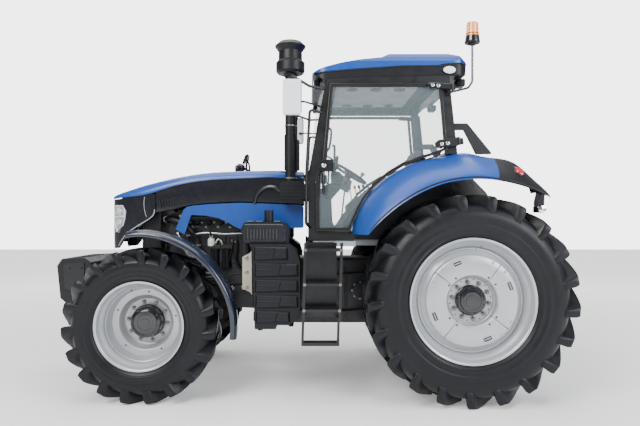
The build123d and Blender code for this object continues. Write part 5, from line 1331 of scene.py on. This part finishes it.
# rear cover plate bolts, hydraulic couplers with caps, hoses, and bolts round the axle housings
for k in range(12):
    a = 2 * math.pi * k / 12
    B.add(*bolt_g(P3(-331, 190 * math.cos(a), 935 + 190 * math.sin(a)), (-1, 0, 0), 0.013, 0.012), 1)
for i in range(4):
    for j in range(2):
        c = P3(-332, 95 + i * 46, 1150 - j * 52) if i < 4 else None
        B.add(*disc_g(c, (-1, 0, 0), [(0.020, 0.0), (0.020, 0.012), (0.015, 0.016), (0.015, 0.040), (0.018, 0.042), (0.018, 0.060), (0.010, 0.062), (0, 0.062)], 20), 3)
        B.add(*disc_g(c + Vector((-0.062, 0, 0)), (-1, 0, 0), [(0.016, 0.0), (0.017, 0.004), (0.013, 0.014), (0, 0.016)], 18), 4 if j else 2)
for s in (1, -1):
    B.add(*tube_g(smooth_path([P3(-300, s * 150, 1240), P3(-340, s * 170, 1330), P3(-300, s * 190, 1400), P3(-200, s * 200, 1420)], 6), 0.013, 12), 5)
    for k in range(10):
        a = 2 * math.pi * k / 10
        B.add(*bolt_g((XO + 0.145 * math.cos(a), s * 0.380, 0.940 + 0.145 * math.sin(a)), (0, s, 0), 0.012, 0.012), 1)
B.done()


B = Build("hood_lamp_mirror", ["plastic_gloss", "redlens", "chrome", "plastic"], "hood", "black_plastic", 45)
c = P3(2214, -330, 2224)
B.add(*disc_g(c, (1, 0.15, 0.05), [(0.0, -0.050), (0.020, -0.048), (0.036, -0.036), (0.047, -0.014), (0.050, 0.010), (0.049, 0.030), (0.044, 0.034)], 30), 0)
B.add(*disc_g(c, (1, 0.15, 0.05), [(0.044, 0.030), (0.043, 0.038), (0.030, 0.046), (0.0, 0.050)], 30), 1)
c = P3(2146, -330, 2336)
B.add(*disc_g(c, (-1, 0.35, -0.1), [(0.0, -0.026), (0.020, -0.024), (0.038, -0.012), (0.047, 0.002), (0.047, 0.010), (0.043, 0.012)], 32), 0)
B.add(*disc_g(c, (-1, 0.35, -0.1), [(0.042, 0.010), (0.040, 0.0115), (0.0, 0.0125)], 32), 2)
B.add(*tube_g(smooth_path([c, P3(2136, -330, 2300), P3(2118, -330, 2255), P3(2112, -330, 2180)], 5), 0.0105, 12), 3)
B.add(*tube_g(smooth_path([P3(2200, -330, 2220), P3(2150, -330, 2206), P3(2112, -330, 2190)], 5), 0.012, 12), 3)
B.add(*box_g(lx(1712), lx(2112), -0.346, -0.316, lz(2150), lz(2192), 0.006), 3)
B.done()
# hinge brackets on the cab's rear post
B = Build("hinge_brackets", ["frame_black", "plastic_gloss"], "chassis", "paint_dark", 35)
for s in (1, -1):
    B.add(*slab_g([P3(x, s * 836, z) for x, z in ((-6, 2342), (34, 2330), (44, 2392), (4, 2400))], (0, s * 0.034, 0), 0.006), 0)
    B.add(*slab_g([P3(x, s * 836, z) for x, z in ((70, 2850), (112, 2846), (120, 2896), (78, 2900))], (0, s * 0.034, 0), 0.006), 0)
B.done()


# ------------------------------------------------------------------ rear wall and transmission sides
def rwx(z):
    return 60 - 15 * (z - 1440) / 796 - 1


B = Build("rear_wall_trim", ["plastic", "frame_black", "seal", "zinc", "plastic_gloss"], "chassis", "black_plastic", 35)
for y0, y1, z0, z1 in ((-600, -230, 1480, 1780), (230, 600, 1480, 1780), (-200, 200, 1480, 1780)):
    B.add(*slab_g([P3(rwx(z0), y0, z0), P3(rwx(z0), y1, z0), P3(rwx(z1), y1, z1), P3(rwx(z1), y0, z1)], (-0.014, 0, 0), 0.008), 0)
    B.add(*slab_g([P3(rwx(z0) - 14, y0 + 40, z0 + 40), P3(rwx(z0) - 14, y1 - 40, z0 + 40), P3(rwx(z1) - 14, y1 - 40, z1 - 40), P3(rwx(z1) - 14, y0 + 40, z1 - 40)], (-0.006, 0, 0), 0.003), 1)
for k in range(6):
    z = 1850 + k * 56
    B.add(*slab_g([P3(rwx(z), -560, z), P3(rwx(z), 560, z), P3(rwx(z), 548, z + 24), P3(rwx(z), -548, z + 24)], (-0.009, 0, 0), 0.004), 0)
# window rubber and wiper of the rear glass
B.add(*tube_g([P3(50, -700, 2304), P3(50, 700, 2304)], 0.011, 10), 2)
for s in (1, -1):
    B.add(*tube_g([P3(50, s * 716, 2304), P3(108, s * 716, 2888)], 0.009, 10), 2)
    # blank plate holder with its lamp, power socket, door stop
B.add(*slab_g([P3(rwx(1800) - 16, 300, 1800), P3(rwx(1800) - 16, 560, 1800), P3(rwx(1920) - 16, 560, 1920), P3(rwx(1920) - 16, 300, 1920)], (-0.006, 0, 0), 0.002), 4)
B.add(*slab_g([P3(rwx(1930) - 10, 390, 1930), P3(rwx(1930) - 10, 470, 1930), P3(rwx(1930) - 10, 470, 1952), P3(rwx(1930) - 10, 390, 1952)], (-0.030, 0, 0), 0.006), 0)
B.add(*disc_g(P3(rwx(1860) - 8, -420, 1860), (-1, 0, 0), [(0.042, 0), (0.042, 0.010), (0.034, 0.016), (0.034, 0.050), (0.038, 0.054), (0.038, 0.064), (0.0, 0.066)], 28), 4)
B.add(*tube_g(smooth_path([P3(30, -60, 2440), P3(-6, -30, 2420), P3(-8, 120, 2520), P3(20, 260, 2700)], 5), 0.006, 8), 1)
for y in (-540, -300, 300, 540):
    B.add(*bolt_g(P3(rwx(1460), y, 1462), (-1, 0, 0), 0.009, 0.008), 3)
B.done()
# transmission side: ribs, covers and bolts on both flanks
for tag, s in (("left", 1), ("right", -1)):
    B = Build(f"gearbox_dress_{tag}", ["chassis", "zinc", "seal", "plastic"], "chassis", "iron", 35)
    for x in (480, 760, 1040, 1320, 1600):
        B.add(*slab_g([P3(x, s * 224, 640), P3(x + 26, s * 224, 640), P3(x + 26, s * 224, 1130), P3(x, s * 224, 1130)], (0, s * 0.022, 0), 0.007), 0)
    B.add(*disc_g(P3(905, s * 224, 900), (0, s, 0), [(0.095, 0), (0.095, 0.012), (0.080, 0.018), (0.078, 0.026), (0, 0.028)], 40), 0)
    for k in range(8):
        a = 2 * math.pi * k / 8
        B.add(*bolt_g(P3(905 + 84 * math.cos(a), s * 240, 900 + 84 * math.sin(a)), (0, s, 0), 0.009, 0.010), 1)
    for z in (700, 1080):
        B.add(*tube_g(smooth_path([P3(340, s * 262, z), P3(700, s * 266, z + 14), P3(1200, s * 264, z - 10), P3(1700, s * 262, z + 12), P3(1960, s * 262, z)], 5), 0.010, 10), 2)
        for x in (420, 830, 1260, 1640):
            B.add(*box_g(lx(x), lx(x + 26), min(s * 0.222, s * 0.278), max(s * 0.222, s * 0.278), lz(z - 12), lz(z + 24), 0.005), 1)
    B.done()
# ------------------------------------------------------------------ stage, light, camera
def stage():
    me = bpy.data.meshes.new("floor")
    s, n = 26.0, 8
    me.from_pydata([(-s, -s, 0), (s, -s, 0), (s, s, 0), (-s, s, 0)], [], [(0, 1, 2, 3)])
    o = bpy.data.objects.new("floor", me)
    bpy.context.collection.objects.link(o)
    m, nt, b = new_mat("floor")
    b.inputs["Base Color"].default_value = (0.80, 0.80, 0.80, 1)
    b.inputs["Roughness"].default_value = 0.75
    b.inputs["Emission Color"].default_value = (1, 1, 1, 1)
    tc = nt.nodes.new("ShaderNodeTexCoord")
    ln = nt.nodes.new("ShaderNodeVectorMath")
    ln.operation = "LENGTH"
    nt.links.new(tc.outputs["Object"], ln.inputs[0])
    far_ = maprange(nt, ln.outputs["Value"], 0.25, 1.3, 3.6, 10.0)
    nt.links.new(far_.outputs[0], b.inputs["Emission Strength"])
    me.materials.append(m)
    w = bpy.data.worlds.new("world")
    w.use_nodes = True
    bg = w.node_tree.nodes["Background"]
    bg.inputs[0].default_value = (0.93, 0.96, 1.0, 1)
    bg.inputs[1].default_value = 0.34
    # the studio's white backdrop as seen past the object, brighter than the light that it gives
    nt = w.node_tree
    far = nt.nodes.new("ShaderNodeBackground")
    far.inputs[0].default_value = (1, 1, 1, 1)
    far.inputs[1].default_value = 4.5
    lp = nt.nodes.new("ShaderNodeLightPath")
    mx = nt.nodes.new("ShaderNodeMixShader")
    nt.links.new(lp.outputs["Is Camera Ray"], mx.inputs[0])
    nt.links.new(bg.outputs[0], mx.inputs[1])
    nt.links.new(far.outputs[0], mx.inputs[2])
    nt.links.new(mx.outputs[0], w.node_tree.nodes["World Output"].inputs[0])
    bpy.context.scene.world = w

    def area(name, loc, target, size, power, col=(1, 1, 1)):
        l = bpy.data.lights.new(name, "AREA")
        l.shape = "RECTANGLE"
        l.size, l.size_y = size
        l.energy = power
        l.color = col
        ob = bpy.data.objects.new(name, l)
        bpy.context.collection.objects.link(ob)
        ob.location = loc
        d = Vector(target) - Vector(loc)
        ob.rotation_euler = d.to_track_quat("-Z", "Y").to_euler()

    area("key", (4.5, 7.5, 7.5), (0, 0, 1.2), (5, 5), 1300, (1.0, 0.99, 0.97))
    area("fill", (-6.5, 6.0, 4.5), (0, 0, 1.2), (5, 4), 700, (0.93, 0.96, 1.0))
    area("top", (0, 0, 9.0), (0, 0, 0), (9, 8), 800)
    area("back", (0, -8, 6), (0, 0, 1.5), (10, 5), 300)


stage()
cam = bpy.data.cameras.new("camera")
co = bpy.data.objects.new("camera", cam)
bpy.context.collection.objects.link(co)
co.location = (1.437 + XO, 6.2, 1.654)
co.rotation_euler = (math.radians(90), 0, math.radians(180))
cam.sensor_width = 36.0
cam.lens = 573.0 / 640.0 * 36.0
cam.shift_x = (320 - 309) / 640.0
cam.shift_y = -(213 - 220) / 640.0
cam.clip_end = 200
bpy.context.scene.camera = co
